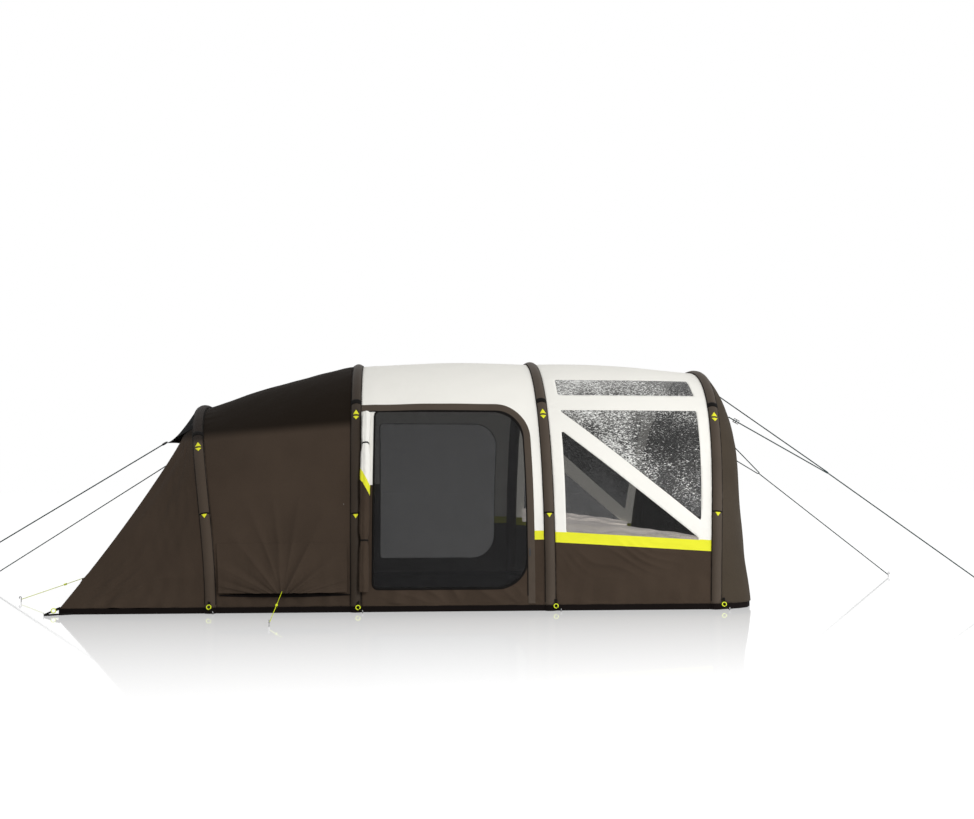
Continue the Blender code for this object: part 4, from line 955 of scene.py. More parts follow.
def creases(bay, u, s, z):
    # soft billows, small puckers that die away from each sleeve, and folds near the ground; the hinge stays flat;
    # s is folded at the ridge, 0.5 - sqrt((s - 0.5)^2 + ridgeEase^2), so that both sides carry the same folds
    facts = bays[bay]
    seed = facts["seed"]
    s = 0.5 - np.sqrt((s - 0.5) ** 2 + ridgeEase**2)
    width = 1.1
    along = s * facts["girth"]
    edge = np.minimum(u, 1 - u) * width
    free = 1 - np.exp(-edge / 0.02)
    if bay == "door":
        free = free * (1 - np.exp(-(((u - hingeShare) / 0.035) ** 2)))
    billow = 0.0035 * ripple(u * 1.3, along * 0.9, seed) + 0.0010 * ripple(u * 4.0, along * 2.5, seed + 1)
    pucker = 0.0022 * np.exp(-edge / 0.07) * ripple(along * 10.0, u * 3.0, seed + 2)
    low = 0.0075 * np.exp(-((z - tent["footZ"]) / 0.16)) * ripple(u * 7.0, along * 1.2, seed + 3)
    slant = 0.0022 * ripple(u * 3.0 + along * 3.0, u * 5.0 - along * 2.0, seed + 4) * np.exp(-((z - 0.3) / 0.35) ** 2)
    drawn = fanFolds(u, z) if bay == "bedroom" else slantFolds(bay, u, z)
    return free * (billow + pucker + low + slant + drawn) * np.where(z < tent["footZ"] + 0.02, 0.35, 1.0)


slantFacts = {"door": (0.55, 0.14, 0.10), "window": (0.42, 0.40, 0.12)}


def slantFolds(bay, u, z):
    # narrow folds that run down to the front at 30 degrees, strongest about the bay's place (u, z, reach in z)
    middle, height, reach = slantFacts[bay]
    x = u * 1.25
    wave = (1 - np.abs(np.sin(pi * ((0.5 * x + 0.87 * z) / 0.085 + 0.6 * ripple(x * 1.3, z * 1.3, 7, 4))))) ** 1.5
    return 0.0130 * wave * np.exp(-(((u - middle) / 0.34) ** 2) - ((z - height) / reach) ** 2)


def fanFolds(u, z):
    # folds drawn towards the pulled middle of the vent's hem, fading above it: crests of (1 - |sin 9 angle|)^1.5,
    # with the angle from straight up
    reach = np.hypot((u - 0.5) * 1.05, z - 0.12)
    angle = np.arctan2((u - 0.5) * 1.05, np.maximum(z - 0.12, 0.01))
    crest = (1 - np.abs(np.sin(angle * 9 + 0.8 + 1.1 * np.sin(angle * 3.1)))) ** 1.5
    return 0.013 * crest * np.sin(pi * u) * np.exp(-(((reach - 0.46) / 0.30) ** 2))


def shareAt(bay, u, z):
    # the share s on the near half at which column u reaches height z
    rear, front = (line[: fine // 2 + 1, 2] for line in bays[bay]["lines"])
    u, z = np.broadcast_arrays(u, z)
    shape = u.shape
    u, z = u.ravel()[:, None], z.ravel()[:, None]
    rise = rear * (1 - u) + front * u
    low = np.clip((rise < z).sum(1) - 1, 0, fine // 2 - 1)[:, None]
    below, above = np.take_along_axis(rise, low, 1), np.take_along_axis(rise, low + 1, 1)
    part = np.clip((z - below) / (above - below), 0, 1)
    return ((low + part) / fine).reshape(shape)


def onWall(bay, side, x, z, out=0.0, creased=True):
    # the surface's point seen at X, Z from one side, found by taking turns between u and s
    x, z = np.broadcast_arrays(np.asarray(x, float), np.asarray(z, float))
    rear, front = bays[bay]["lines"]
    u = np.full(x.shape, 0.5)
    for _ in range(7):
        s = shareAt(bay, u, z)
        a, b = at(rear, s)[..., 0], at(front, s)[..., 0]
        u = (x - a) / (b - a)
    point = bayPoint(bay, u, s, out, creased)
    return point if side < 0 else flipSide(point)


def bayGrid(bay, columns, keys, steps):
    # rows run along the arch between key lines (shares s for each column), steps[i] of them in each part
    u = np.linspace(0, 1, columns)
    rows = [keys[0]]
    for low, high, count in zip(keys[:-1], keys[1:], steps):
        part = np.linspace(0, 1, count + 1)[1:, None]
        rows.extend(low * (1 - part) + high * part)
    s = np.array(rows).T
    bands = np.repeat(np.arange(len(steps)), steps)
    return bayPoint(bay, u[:, None], s), bands


def roundedOutline(corners, radii, steps=10):
    # an anticlockwise outline with rounded corners
    loop = []
    count = len(corners)
    corners = np.asarray(corners, float)
    for i, radius in enumerate(radii):
        before, after = unit(corners[i - 1] - corners[i]), unit(corners[(i + 1) % count] - corners[i])
        half = np.arccos(np.clip(before @ after, -1, 1)) / 2
        centre = corners[i] + unit(before + after) * radius / sin(half)
        first = corners[i] + before * radius / np.tan(half) - centre
        last = corners[i] + after * radius / np.tan(half) - centre
        start = np.arctan2(first[1], first[0])
        turn = (np.arctan2(last[1], last[0]) - start + pi) % (2 * pi) - pi
        angle = start + turn * np.linspace(0, 1, steps + 1)
        loop.append(centre + radius * np.stack([np.cos(angle), np.sin(angle)], -1))
    return np.vstack(loop)


doorway = {"left": -0.30, "right": 0.912, "sill": 0.18, "head": 1.585, "corner": 0.24, "small": 0.04, "lap": 0.012}
doorway |= {"field": (-0.312, 0.930, 0.162, 1.603), "stripe": (0.553, 0.623), "belowSill": 0.17, "besideTop": 0.98}
doorway |= {"leafOut": 0.0030, "leafSize": (1.20, 1.41)}
window = {"left": 1.232, "right": 2.401, "head": 1.60, "rightSill": 0.697, "slant": 0.09, "corner": 0.006}
window |= {"stripe": ((0.531, 0.076), (0.613, 0.070))}  # each edge's height at its rear end, and its drop to the front
net = {"left": 1.222, "right": 2.305, "head": 1.426, "sillLeft": 0.610, "sillRight": 0.544, "topLeft": 1.232}
skylight = {"left": 1.240, "right": 2.424, "low": 1.736, "high": 1.882}


def rectangle(left, right, low, high):
    # anticlockwise corners
    return [(left, low), (right, low), (right, high), (left, high)]


def doorOutline(grow, hinge=None):
    # the doorway's outline, grown on three sides by one lap and on the hinge side by another
    d = doorway
    left = d["left"] - (grow if hinge is None else hinge)
    radii = [max(d[k] + grow, 0.004) for k in ("small", "corner", "corner", "small")]
    return roundedOutline(rectangle(left, d["right"] + grow, d["sill"] - grow, d["head"] + grow), radii)


def sharpOutline(corners):
    # an outline with hardly rounded corners
    return roundedOutline(corners, [window["corner"]] * len(corners))


def windowOutline():
    w = window
    return sharpOutline([(w["right"] - w["slant"], w["rightSill"]), (w["right"], w["head"]), (w["left"], w["head"])])


def netOutline():
    n = net
    return sharpOutline([(n["left"], n["sillLeft"]), (n["right"], n["sillRight"]), (n["topLeft"], n["head"])])


def skylightOutline():
    return sharpOutline(rectangle(**skylight))


def makeCanopy(bay, slotName, grid, materials, keep=None, bands=None):
    canopy = clothFromGrid(bay + "Canopy", grid, materials, bands, keep)
    thicken(canopy, inner=len(materials) // 2)
    dress(canopy, "tent", slotName, bay + "_wall_near", bay + "_wall_far", bay + "_roof")
    width = float(np.linalg.norm(grid[-1, grid.shape[1] // 2] - grid[0, grid.shape[1] // 2]))
    rests = [one + "Sleeve" for one in bays[bay]["arches"]]
    hangSheet(canopy, (width * 1.02, bays[bay]["girth"]), clothArea(grid, keep), rests=rests)


def mirroredKeys(keys):
    # the near side's key lines, and the far side's after them
    return keys + [1 - key for key in keys[::-1]]


def makeBedroomBay():
    columns = 81
    grid, _ = bayGrid("bedroom", columns, mirroredKeys([np.zeros(columns)]), [420])
    makeCanopy("bedroom", "brown_fabric", grid, ["brownCloth", "liningCloth"])


def outsideOf(side):
    # a point well outside one long side, to turn faces to
    return (0.3, side * 9.0, 1.0)


def paneFrom(name, grid, keep, outline, side, finish, slotName, node):
    # a pane cut from a bay's grid by its outline, on one side
    paneGrid, stay = trimGrid(grid, keep, outline, True, side)
    pane = clothFromGrid(name, paneGrid, [finish], None, stay, outsideOf(side))
    thicken(pane, "pane")
    dress(pane, "tent", slotName, node)
    area = clothArea(paneGrid, stay)
    length = float(np.ptp(outline[:, 0]))
    rows = touched(stay, paneGrid.shape[:2]).any(0)
    tall = lineLength(paneGrid[paneGrid.shape[0] // 2, rows])
    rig.sheet(pane, (length, max(tall, area / length)), "stretched", area=area)


whiteBay = ["whiteCloth", "brownCloth", "neonCloth", "whiteLining", "liningCloth", "neonLining"]


def makeDoorBay():
    # white, and brown below a neon stripe beside the doorway and below its sill
    columns = 96
    u = np.linspace(0, 1, columns)
    heights = (doorway["belowSill"], *doorway["stripe"])
    keys = mirroredKeys([np.zeros(columns)] + [shareAt("door", u, np.full(columns, z)) for z in heights])
    grid, bands = bayGrid("door", columns, keys, [18, 36, 8, 330, 8, 36, 18])
    kinds = np.array([1, 1, 2, 0, 2, 1, 1])[bands][None, :].repeat(columns - 1, axis=0)
    beside = grid[:-1, :-1, 0] < doorway["left"] + 0.01
    kinds[beside & ((kinds == 2) | (grid[:-1, :-1, 2] < doorway["besideTop"]))] = 1
    keep = np.ones(kinds.shape, bool)
    hole = doorOutline(0)
    for side in (-1, 1):
        grid, keep = trimGrid(grid, keep, hole, False, side)
    makeCanopy("door", "white_fabric", grid, whiteBay, keep, kinds)


def makeWindowBay():
    # white above a slanting neon stripe, brown below it, with a clear pane, a net pane and a skylight on each side
    columns = 96
    u = np.linspace(0, 1, columns)
    stripe = [shareAt("window", u, start - drop * u) for start, drop in window["stripe"]]
    keys = mirroredKeys([np.zeros(columns)] + stripe)
    grid, bands = bayGrid("window", columns, keys, [46, 8, 330, 8, 46])
    kinds = np.broadcast_to(np.array([1, 2, 0, 2, 1])[bands][None, :], (columns - 1, len(bands)))
    whole = np.ones(kinds.shape, bool)
    panes = [("clearWindow", "clear_window", windowOutline(), "clearFilm", "clear_film")]
    panes += [("meshWindow", "mesh_window", netOutline(), "windowNet", "insect_mesh")]
    panes += [("skyPane", "skylight", skylightOutline(), "clearFilm", "clear_film")]
    wall, keep = grid, whole
    for word, side in sideOf.items():
        for name, node, outline, finish, slotName in panes:
            paneFrom(f"{name}_{word}", grid, whole, outline, side, finish, slotName, f"{node}_{word}")
            wall, keep = trimGrid(wall, keep, outline, False, side)
    makeCanopy("window", "white_fabric", wall, [*whiteBay[:3], "windowLining", *whiteBay[4:]], keep, kinds)


curtain = {"past": 0.015, "wider": 0.04, "below": 0.035, "tall": 0.150, "slope": 0.075, "behind": -0.036}
curtain |= {"size": (1.14, 0.30)}


def makeCurtain(word, side):
    # a light inner curtain, let down behind the net window and lying in folds along its sill: sin(2 pi 2.2 drop),
    # shifted and roughened by ripples
    facts = curtain
    u, drop = shareGrid(200, 50)
    x = net["left"] - facts["past"] + (net["right"] + facts["wider"] - net["left"]) * u
    low = net["sillLeft"] + (net["sillRight"] - net["sillLeft"]) * u - facts["below"]
    z = low + (facts["tall"] - facts["slope"] * u + 0.008 * ripple(u * 2.0, 0.0, 15)) * (1 - drop)
    fold = 0.011 * np.sin(2 * pi * (drop * 2.2 + 0.35 * ripple(u * 2.5, drop * 0.3, 16)))
    fold = fold + 0.006 * ripple(u * 6.0, drop * 1.0, 17)
    grid = onWall("window", side, x, z, facts["behind"] + fold, creased=False)
    cloth = clothFromGrid("windowCurtain_" + word, grid, ["curtainCloth"], outside=outsideOf(side))
    dress(thicken(cloth, "curtain"), "tent", "divider_fabric")
    hangSheet(cloth, facts["size"], clothArea(grid), "gathered", ["windowCanopy"])


makeBedroomBay()
makeDoorBay()
makeWindowBay()
for word, side in sideOf.items():
    makeCurtain(word, side)
print("the three bays are made")

# ---------- doors of net, rolled doors, zips ----------
def ribbon(name, bay, side, line, width, rise, material, slotName, lift):
    # a sewn strip along a line of X, Z places: its section is a low bow, rise * (1 - v^4) high
    line = np.asarray(line, float)
    direction = unit(np.gradient(line, axis=0))
    beside = np.stack([-direction[:, 1], direction[:, 0]], -1)
    v = np.linspace(-1, 1, 9)
    width = np.broadcast_to(width, len(line))
    place = line[:, None] + beside[:, None] * (v[None, :, None] * width[:, None, None] / 2)
    height = lift + rise * (1 - v**4)
    grid = onWall(bay, side, place[..., 0], place[..., 1], np.broadcast_to(height, place.shape[:2]))
    dress(clothFromGrid(name, grid, [material], outside=outsideOf(side)), "tent", slotName)


def openLine(points, step=0.01):
    # a line of X, Z points in even steps
    points = np.asarray(points, float)
    length = lengthAlong(points)
    even = np.linspace(0, length[-1], max(int(length[-1] / step), 2) + 1)
    return np.stack([np.interp(even, length, points[:, i]) for i in range(2)], -1)


def makeNetDoor(word, side):
    # the leaf lies on the wall: a net inside a bound edge
    body = word + "_mesh_door"
    outer, inner = doorOutline(doorway["lap"], 0.005), doorOutline(-0.006, -0.010)
    left, right, low, high = doorway["field"]
    x, z = np.linspace(left, right, 130), np.linspace(low, high, 150)
    grid = onWall("door", side, x[:, None], z[None, :], doorway["leafOut"])
    whole = np.ones((129, 149), bool)
    leaf, stay = trimGrid(grid, whole, outer, True)
    mesh, meshStay = trimGrid(grid, whole, inner, True)
    door = clothFromGrid("netDoor_" + word, mesh, ["insectNet"], None, meshStay, outsideOf(side))
    thicken(door, "net")
    dress(door, body, "insect_mesh", "mesh_door_" + word)
    hangSheet(door, doorway["leafSize"], clothArea(mesh, meshStay))
    rim, rimStay = trimGrid(leaf, stay, inner, False)
    binding = clothFromGrid("netDoorBinding_" + word, rim, ["webbing"], None, rimStay, outsideOf(side))
    dress(thicken(binding), body, "black_fabric")


def rollSection(angle, turn):
    # a rolled cloth's radius: 1 - 0.16 * share^3 once round, so it steps at the free edge, + 0.02 * sin(5 angle + 1)
    around = ((angle - turn) / (2 * pi)) % 1
    return 1 - 0.16 * around**3 + 0.02 * np.sin(5 * angle + 1.0)


roll = {
    "x": -0.364,
    "radius": 0.040,
    "low": 0.16,
    "high": 1.535,
    "ties": (0.545, 1.287),
    "band": (0.950, 1.030),
    "slant": 0.063,
    "seat": 0.0016,
    "tieDepth": 0.24,
    "tieReach": 0.05,
    "tieRise": 0.0022,
}


def makeRoll(word, side):
    # the outer door rolled up beside its hinge: white above, a slanting neon band, brown below; it is thinner at its
    # ties and towards the top and fuller at the band, each by exp(-distance^2), with folds from two ripples
    rows, facets = 240, 64
    z = np.linspace(roll["low"], roll["high"], rows)
    base = onWall("door", side, np.full(rows, roll["x"]), z, 0.0, creased=False)
    out = unit(onWall("door", side, np.full(rows, roll["x"]), z, 0.01, creased=False) - base)
    along = unit(np.gradient(base, axis=0))
    out = unit(out - along * (out * along).sum(1, keepdims=True))
    cross = np.cross(along, out) * (1 if side < 0 else -1)
    pinch = sum(roll["tieDepth"] * np.exp(-(((z - tie) / roll["tieReach"]) ** 2)) for tie in roll["ties"])
    pinch = pinch + 0.14 * np.exp(-(((z - 1.5) / 0.2) ** 2)) - 0.05 * np.exp(-(((z - 0.96) / 0.16) ** 2))
    angle = ringAngles(facets)
    folds = 0.045 * ripple(z[:, None] * 4.0, angle[None, :] * 0.5, 41)
    folds = folds + 0.02 * ripple(z[:, None] * 14.0, angle[None, :] * 0.9, 42)
    radius = roll["radius"] * (1 - pinch[:, None]) * rollSection(angle, 2.2)[None, :] * (0.97 + folds)
    centre = base + out * (roll["radius"] + roll["seat"])
    ring = np.cos(angle)[None, :, None] * cross[:, None] + np.sin(angle)[None, :, None] * out[:, None]
    rings = centre[:, None] + radius[..., None] * ring
    edge = z[:, None] + roll["slant"] * np.cos(angle)[None, :]
    faces = (edge[:-1] + edge[1:]) / 2
    kinds = np.where(faces < roll["band"][0], 1, np.where(faces < roll["band"][1], 2, 0))
    for tie, height in enumerate(roll["ties"]):
        spot = np.argmin(np.abs(z - height)) + np.arange(-1, 2)
        reach = rings[spot] + roll["tieRise"] * unit(rings[spot] - centre[spot][:, None])
        band = ringTube(f"rollTie_{word}_{tie + 1}", reach, ["webbing"])
        dress(thicken(band, "tie"), "tent", "black_fabric")
    piece = ringTube("rolledDoor_" + word, rings, ["whiteCloth", "brownCloth", "neonCloth"], kinds)
    dress(piece, "tent", "white_fabric", "rolled_door_" + word)
    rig.padded(piece, fill=0.5)


flap = {"width": 0.056, "rise": 0.0026, "lift": 0.0040, "centre": (0.702, 1.367), "radius": 0.241}
flap |= {"start": (-0.408, 1.608), "knee": (0.943, 0.90), "foot": (0.944, 0.058)}
flap |= {"tapeWidth": 0.007, "tapeRise": 0.0012, "tapeLift": 0.0052, "tapeAside": 0.030}


def makeZip(word, side):
    # a zip tape round the doorway, beside a brown flap that runs on down to the ground
    line = flapLine()
    width, rise, lift = flap["width"], flap["rise"], flap["lift"]
    ribbon("zipFlap_" + word, "door", side, line, width, rise, "trimCloth", "brown_fabric", lift)
    outwards = unit(np.gradient(line, axis=0))[:, ::-1] * (-1, 1)
    tape = (line - outwards * flap["tapeAside"])[4:-6]
    width, rise, lift = flap["tapeWidth"], flap["tapeRise"], flap["tapeLift"]
    ribbon("zipTape_" + word, "door", side, tape, width, rise, "webbing", "black_fabric", lift)
    setFinish("zip_slider_" + word, "blackPlastic")


def flapLine():
    # along the head of the doorway from the hinge side, round its corner, and straight down to the ground
    turn = np.linspace(pi / 2, 0, 14)
    centre, radius = flap["centre"], flap["radius"]
    corner = [(centre[0] + radius * cos(a), centre[1] + radius * sin(a)) for a in turn]
    return openLine([flap["start"], *corner, flap["knee"], flap["foot"]])


for word, side in sideOf.items():
    makeNetDoor(word, side)
    makeRoll(word, side)
    makeZip(word, side)
print("doors, rolls and zips are made")

# ---------- sewn marks, base rings and small fittings ----------
# for each arch, as shares of its length up the near leg: black band, pair of triangles, single triangle with its tab
marks = {
    "rear": (0.2951, 0.2589, 0.1361),
    "bedroom": (0.300, 0.272, 0.1212),
    "door": (0.300, 0.2714, 0.1209),
    "front": (0.304, 0.2761, 0.124),
}
mark = {"band": 0.052, "half": 0.025, "up": 0.048, "down": 0.038, "gap": 0.020, "single": 0.032}
mark |= {"tab": 0.011, "lift": 0.0020, "reach": 0.052, "seam": 0.046}
baseRings = {"rearSeam": (-1.542, 0.052), "bedroomSeam": (-0.408, 0.040), "doorSeam": (1.130, 0.040)}
baseRings |= {"frontSeam": (2.465, 0.043), "rearCorner": (-2.700, 0.034)}
baseRing = {"y": -1.712, "radius": 0.0165, "wire": 0.0036, "hold": 0.015, "tab": 0.020, "tail": 0.014, "hem": 0.016}
baseRing |= {"foot": (0, 0.018, 0.050), "peg": (0.034, -0.022, 0.006), "cornerFoot": (-2.655, -1.690, 0.052)}
baseRing |= {"cornerPeg": (-2.760, -1.752, 0.006), "cornerHem": (-2.560, -1.705, 0.010)}
baseRing |= {"pin": ((0, -0.010, 0.016), (0.004, -0.004, 0.004), (0.002, 0.004, -0.006))}
lock = {"up": 0.075, "halfLength": 0.024, "halfWidth": 0.015, "wire": 0.0036}
toggle = {"start": 0.006, "length": 0.046, "thin": 0.0065, "swell": 0.0030}


def stitched(name, patches, materials, kind):
    # several small sewn patches in one piece: (grid, material, outward direction) each
    points, faces, kinds, start = [], [], [], 0
    for grid, finish, outward in patches:
        found = gridFaces(*grid.shape[:2]).reshape(-1, 4)
        if (normalsOf(grid) * outward).sum() < 0:
            found = found[:, ::-1]
        points.append(grid.reshape(-1, 3))
        faces.append(found + start)
        kinds.append(np.full(len(found), finish))
        start += grid.shape[0] * grid.shape[1]
    piece = putMesh(name, np.vstack(points), np.vstack(faces), materials, np.concatenate(kinds))
    return thicken(piece, kind, offset=1.0)


def onSleeve(arch, share, along, around):
    # a place on the sleeve: metres along its line from a share, and metres round it from its outermost line
    t = tables[arch]
    along, around = np.broadcast_arrays(along, around)
    centre, outward, across = (at(t[k], share + along / t["length"]) for k in ("centre", "outward", "across"))
    angle = (around / sleeve["skin"])[..., None]
    return centre + (sleeve["skin"] + mark["lift"]) * (np.cos(angle) * outward + np.sin(angle) * across)


def triangle(arch, share, base, tip, size=1.0):
    # from its base line to its tip along the sleeve
    step = np.linspace(0, 1, 9)[:, None]
    width = mark["half"] * size * (1 - 0.985 * step) * np.linspace(-1, 1, 9)[None, :]
    return onSleeve(arch, share, base + (tip - base) * step, width)


def makeSeams(arch):
    # the stitched edges of the sleeve, one down each side from foot to foot
    length = tables[arch]["length"]
    along = np.linspace(0.02, length - 0.02, 420)[:, None]
    width = np.linspace(-0.003, 0.003, 3)[None, :]
    strips = [onSleeve(arch, 0.0, along, edge + width) for edge in (-mark["seam"], mark["seam"])]
    outward = at(tables[arch]["outward"], along[:, 0] / length)[:, None]
    piece = stitched(f"{arch}SleeveSeams", [(grid, 0, outward) for grid in strips], ["webbing"], "seam")
    dress(piece, "tent", "brown_fabric")


def makeMarks(arch, side, word):
    # the triangles and bands sewn on one leg of a sleeve
    band, pair, single = marks[arch]
    across = np.linspace(-1, 1, 15)[None, :]
    rows = np.linspace(-0.5, 0.5, 5)[:, None]
    gap, up, down = mark["gap"] / 2, mark["up"], mark["down"]
    patches = [(onSleeve(arch, band, rows * mark["band"], across * mark["reach"]), 1)]
    patches += [(triangle(arch, pair, gap, gap + up), 0), (triangle(arch, pair, -gap, -gap - down), 0)]
    patches += [(onSleeve(arch, single, rows * mark["tab"] + mark["tab"] / 2 + 0.001, across * mark["reach"] * 0.8), 1)]
    patches += [(triangle(arch, single, 0, -mark["single"], 0.85), 0)]
    outward = at(tables[arch]["outward"], pair)
    shaped = [(grid if side < 0 else flipSide(grid), kind, outward * (1, -side, 1)) for grid, kind in patches]
    piece = stitched(f"{arch}SleeveMarks_{word}", shaped, ["neonCloth", "webbing"], "mark")
    dress(piece, "tent", "brown_fabric")


def strap(start, end, width, beside):
    # a flat strap's grid between two places, bowed outwards by 0.004 * sin(pi share)
    share = np.linspace(0, 1, 9)[:, None]
    middle = np.asarray(start) * (1 - share) + np.asarray(end) * share
    middle = middle + np.array((0, -0.004, 0)) * np.sin(pi * share)
    return middle[:, None] + np.linspace(-0.5, 0.5, 5)[None, :, None] * width * np.asarray(beside)


def makeBaseRing(name, x, z, side, word):
    # a webbing tab at the wall's foot, a moulded ring in it, and a tail that runs on down to the head of a small peg
    corner, facts, flip = name == "rearCorner", baseRing, (1, -side, 1)
    place = np.array((x, facts["y"], z))
    foot = np.array(facts["cornerFoot"]) if corner else place + facts["foot"]
    peg = np.array(facts["cornerPeg"]) if corner else place * (1, 1, 0) + facts["peg"]
    turn = np.linspace(0, 2 * pi, 33)[:, None]
    down = unit(place - foot)
    beside = unit(np.cross(down, (0, 1.0, 0)))
    ring = place + facts["radius"] * (np.cos(turn) * down + np.sin(turn) * beside)
    grids = [strap(foot, place - down * facts["hold"], facts["tab"], beside)]
    grids += [strap(place + unit(peg - place) * facts["hold"], peg, facts["tail"], beside)]
    if corner:
        grids += [strap(facts["cornerHem"], peg, facts["hem"], (0.3, 0, 0.9))]
    patches = [(grid * flip, 0, (0, side, 0.2)) for grid in grids]
    dress(stitched(f"{name}Strap_{word}", patches, ["webbing"], "strap"), "tent", "black_fabric")
    loop = tube(f"{name}Ring_{word}", ring * flip, facts["wire"], ["neonPlastic"], 12, caps=False)
    dress(loop, "tent", "neon_plastic")
    pin = (peg + np.array(facts["pin"])) * flip
    dress(tube(f"{name}Peg_{word}", pin, pegs["radius"], ["pegSteel"], 10), "tent", "steel")


def makeLadderLock(word, side):
    # the buckle that tightens the front bridle: a moulded frame and the bar across it
    lower, knot = (np.array(bridle[k]) * (1, -side, 1) for k in ("lower", "knot"))
    ahead = unit(knot - lower)
    beside = unit(np.cross(ahead, (0, 1, 0)))
    middle = lower + ahead * lock["up"]
    length, width = ahead * lock["halfLength"], beside * lock["halfWidth"]
    loop = np.array([middle + length * a + width * b for a, b in ((-1, -1), (1, -1), (1, 1), (-1, 1), (-1, -1))])
    for part, line in (("Frame", loop), ("Bar", np.array([middle - width, middle + width]))):
        piece = tube(f"bridleLock{part}_{word}", line, lock["wire"], ["blackPlastic"], 10)
        dress(piece, "tent", "black_plastic")


def makeToggle(word, side):
    # a short moulded toggle on each rear rope where it leaves the visor's corner; its radius is
    # thin + swell * sin(pi share)^0.5
    start, end = (np.array(ropes["rear"][k]) * (1, -side, 1) for k in ("start", "end"))
    share = np.linspace(0, 1, 13)[:, None]
    radius = toggle["thin"] + toggle["swell"] * np.sin(pi * share[:, 0]) ** 0.5
    line = start + unit(end - start) * (toggle["start"] + toggle["length"] * share)
    dress(tube("ropeToggle_" + word, line, radius, ["blackPlastic"], 20), "tent", "black_plastic")


for arch in arches:
    makeSeams(arch)
for word, side in sideOf.items():
    makeToggle(word, side)
    for arch in arches:
        makeMarks(arch, side, word)
    for name, (x, z) in baseRings.items():
        makeBaseRing(name, x, z, side, word)
    makeLadderLock(word, side)
print("marks, rings and fittings are made")

# ---------- the bedroom end: side panels, rear wall, visor and vent hoods ----------
rearEnd = {"stations": (7 / 22, 15 / 22), "tipX": -2.06, "tipZ": 1.33, "tipHalf": 0.75, "arch": 0.015}
rearEnd |= {"eaves": 0.25, "under": 0.0055, "hollow": 0.04, "fullness": 0.02, "seed": 71}
rearEnd |= {"panelSize": (1.28, 1.62), "wallSize": (3.35, 1.62), "visorWidth": 2.2}


def visorPoint(across, drop):
    # straight from the rear sleeve's seam to a tip line that rises by arch * (1 - across^2)
    facts = rearEnd
    low, high = facts["stations"]
    edge = at(seamLine("rear", -1), low + (high - low) * (across + 1) / 2)
    height = facts["tipZ"] + facts["arch"] * (1 - across**2)
    tip = np.stack([np.full(across.shape, facts["tipX"]), across * facts["tipHalf"], height], -1)
    return edge * (1 - drop[..., None]) + tip * drop[..., None]


def eavesLine(across):
    # where the rear wall ends, just under the visor
    drop = np.full(across.shape, rearEnd["eaves"])
    point = visorPoint(across, drop)
    grid = np.stack([visorPoint(across, drop - 0.02), point, visorPoint(across, drop + 0.02)])
    normal = normalsOf(grid)[1]
    normal = np.where(normal[:, 2:] < 0, -normal, normal)
    return point - normal * rearEnd["under"]


def hipLine(height):
    # from the rear corner on the ground to the eaves, drawn in by hollow * 4h(1-h)
    top = eavesLine(np.linspace(-1, 1, 161))[0]
    foot = np.array([tent["rearX"] + 0.002, -tent["halfWidth"] - 0.026, tent["footZ"]])
    line = foot * (1 - height[:, None]) + top * height[:, None]
    line[:, 0] += rearEnd["hollow"] * 4 * height * (1 - height)
    return line


def makeSidePanel(word, side, seed):
    # from the sleeve's seam to the hip, made full by low folds that die away as exp(-z / 0.22), soft billows, upright
    # folds beside the sleeve, and crests of (1 - |sin|)^1.5 that fan out from the lower rear corner
    rows, columns = 260, 130
    height = np.linspace(0, 1, rows)
    seam = at(seamLine("rear", -1), height * rearEnd["stations"][0])
    hip = hipLine(height)
    share = np.linspace(0, 1, columns)[:, None, None]
    grid = seam * (1 - share) + hip * share
    normal = normalsOf(grid)
    normal = np.where((normal[..., 1] > 0)[..., None], -normal, normal)
    u, h = np.linspace(0, 1, columns)[:, None], height[None, :]
    free = np.sin(pi * u) ** 0.6 * np.minimum(1, (1 - h) * 8)
    low = 0.010 * np.exp(-(grid[..., 2] - tent["footZ"]) / 0.22) * ripple(u * 6.0 + h * 2.0, h * 5.0, seed)
    soft = 0.006 * ripple(u * 1.5 + h * 1.0, h * 2.0, seed + 1) + 0.0016 * ripple(u * 6.0, h * 9.0, seed + 2)
    upright = np.sin(u * 42 + h * 5 + 1.2 * ripple(u * 0.6, h * 2.0, seed + 3))
    soft = soft + 0.006 * np.exp(-u / 0.20) * upright * np.sin(pi * h)
    fan = np.arctan2(h + 0.02, 1.06 - u)
    drag = (1 - np.abs(np.sin(fan * 19 + 1.2 * ripple(u * 1.5, h * 1.0, seed + 4)))) ** 1.5
    soft = soft + 0.018 * drag * np.exp(-(((h - 0.10) / 0.09) ** 2)) * np.sin(pi * u)
    grid = grid + normal * (free * (low + soft))[..., None]
    if side > 0:
        grid = flipSide(grid)
    outside, rests = (-3, side * 9.0, 1), ["rearSleeve"]
    names = "rearSidePanel_" + word, "rear_side_panel_" + word
    sewPanel(names[0], grid, ["brownCloth", "liningCloth"], names[1], rearEnd["panelSize"], outside, rests=rests)


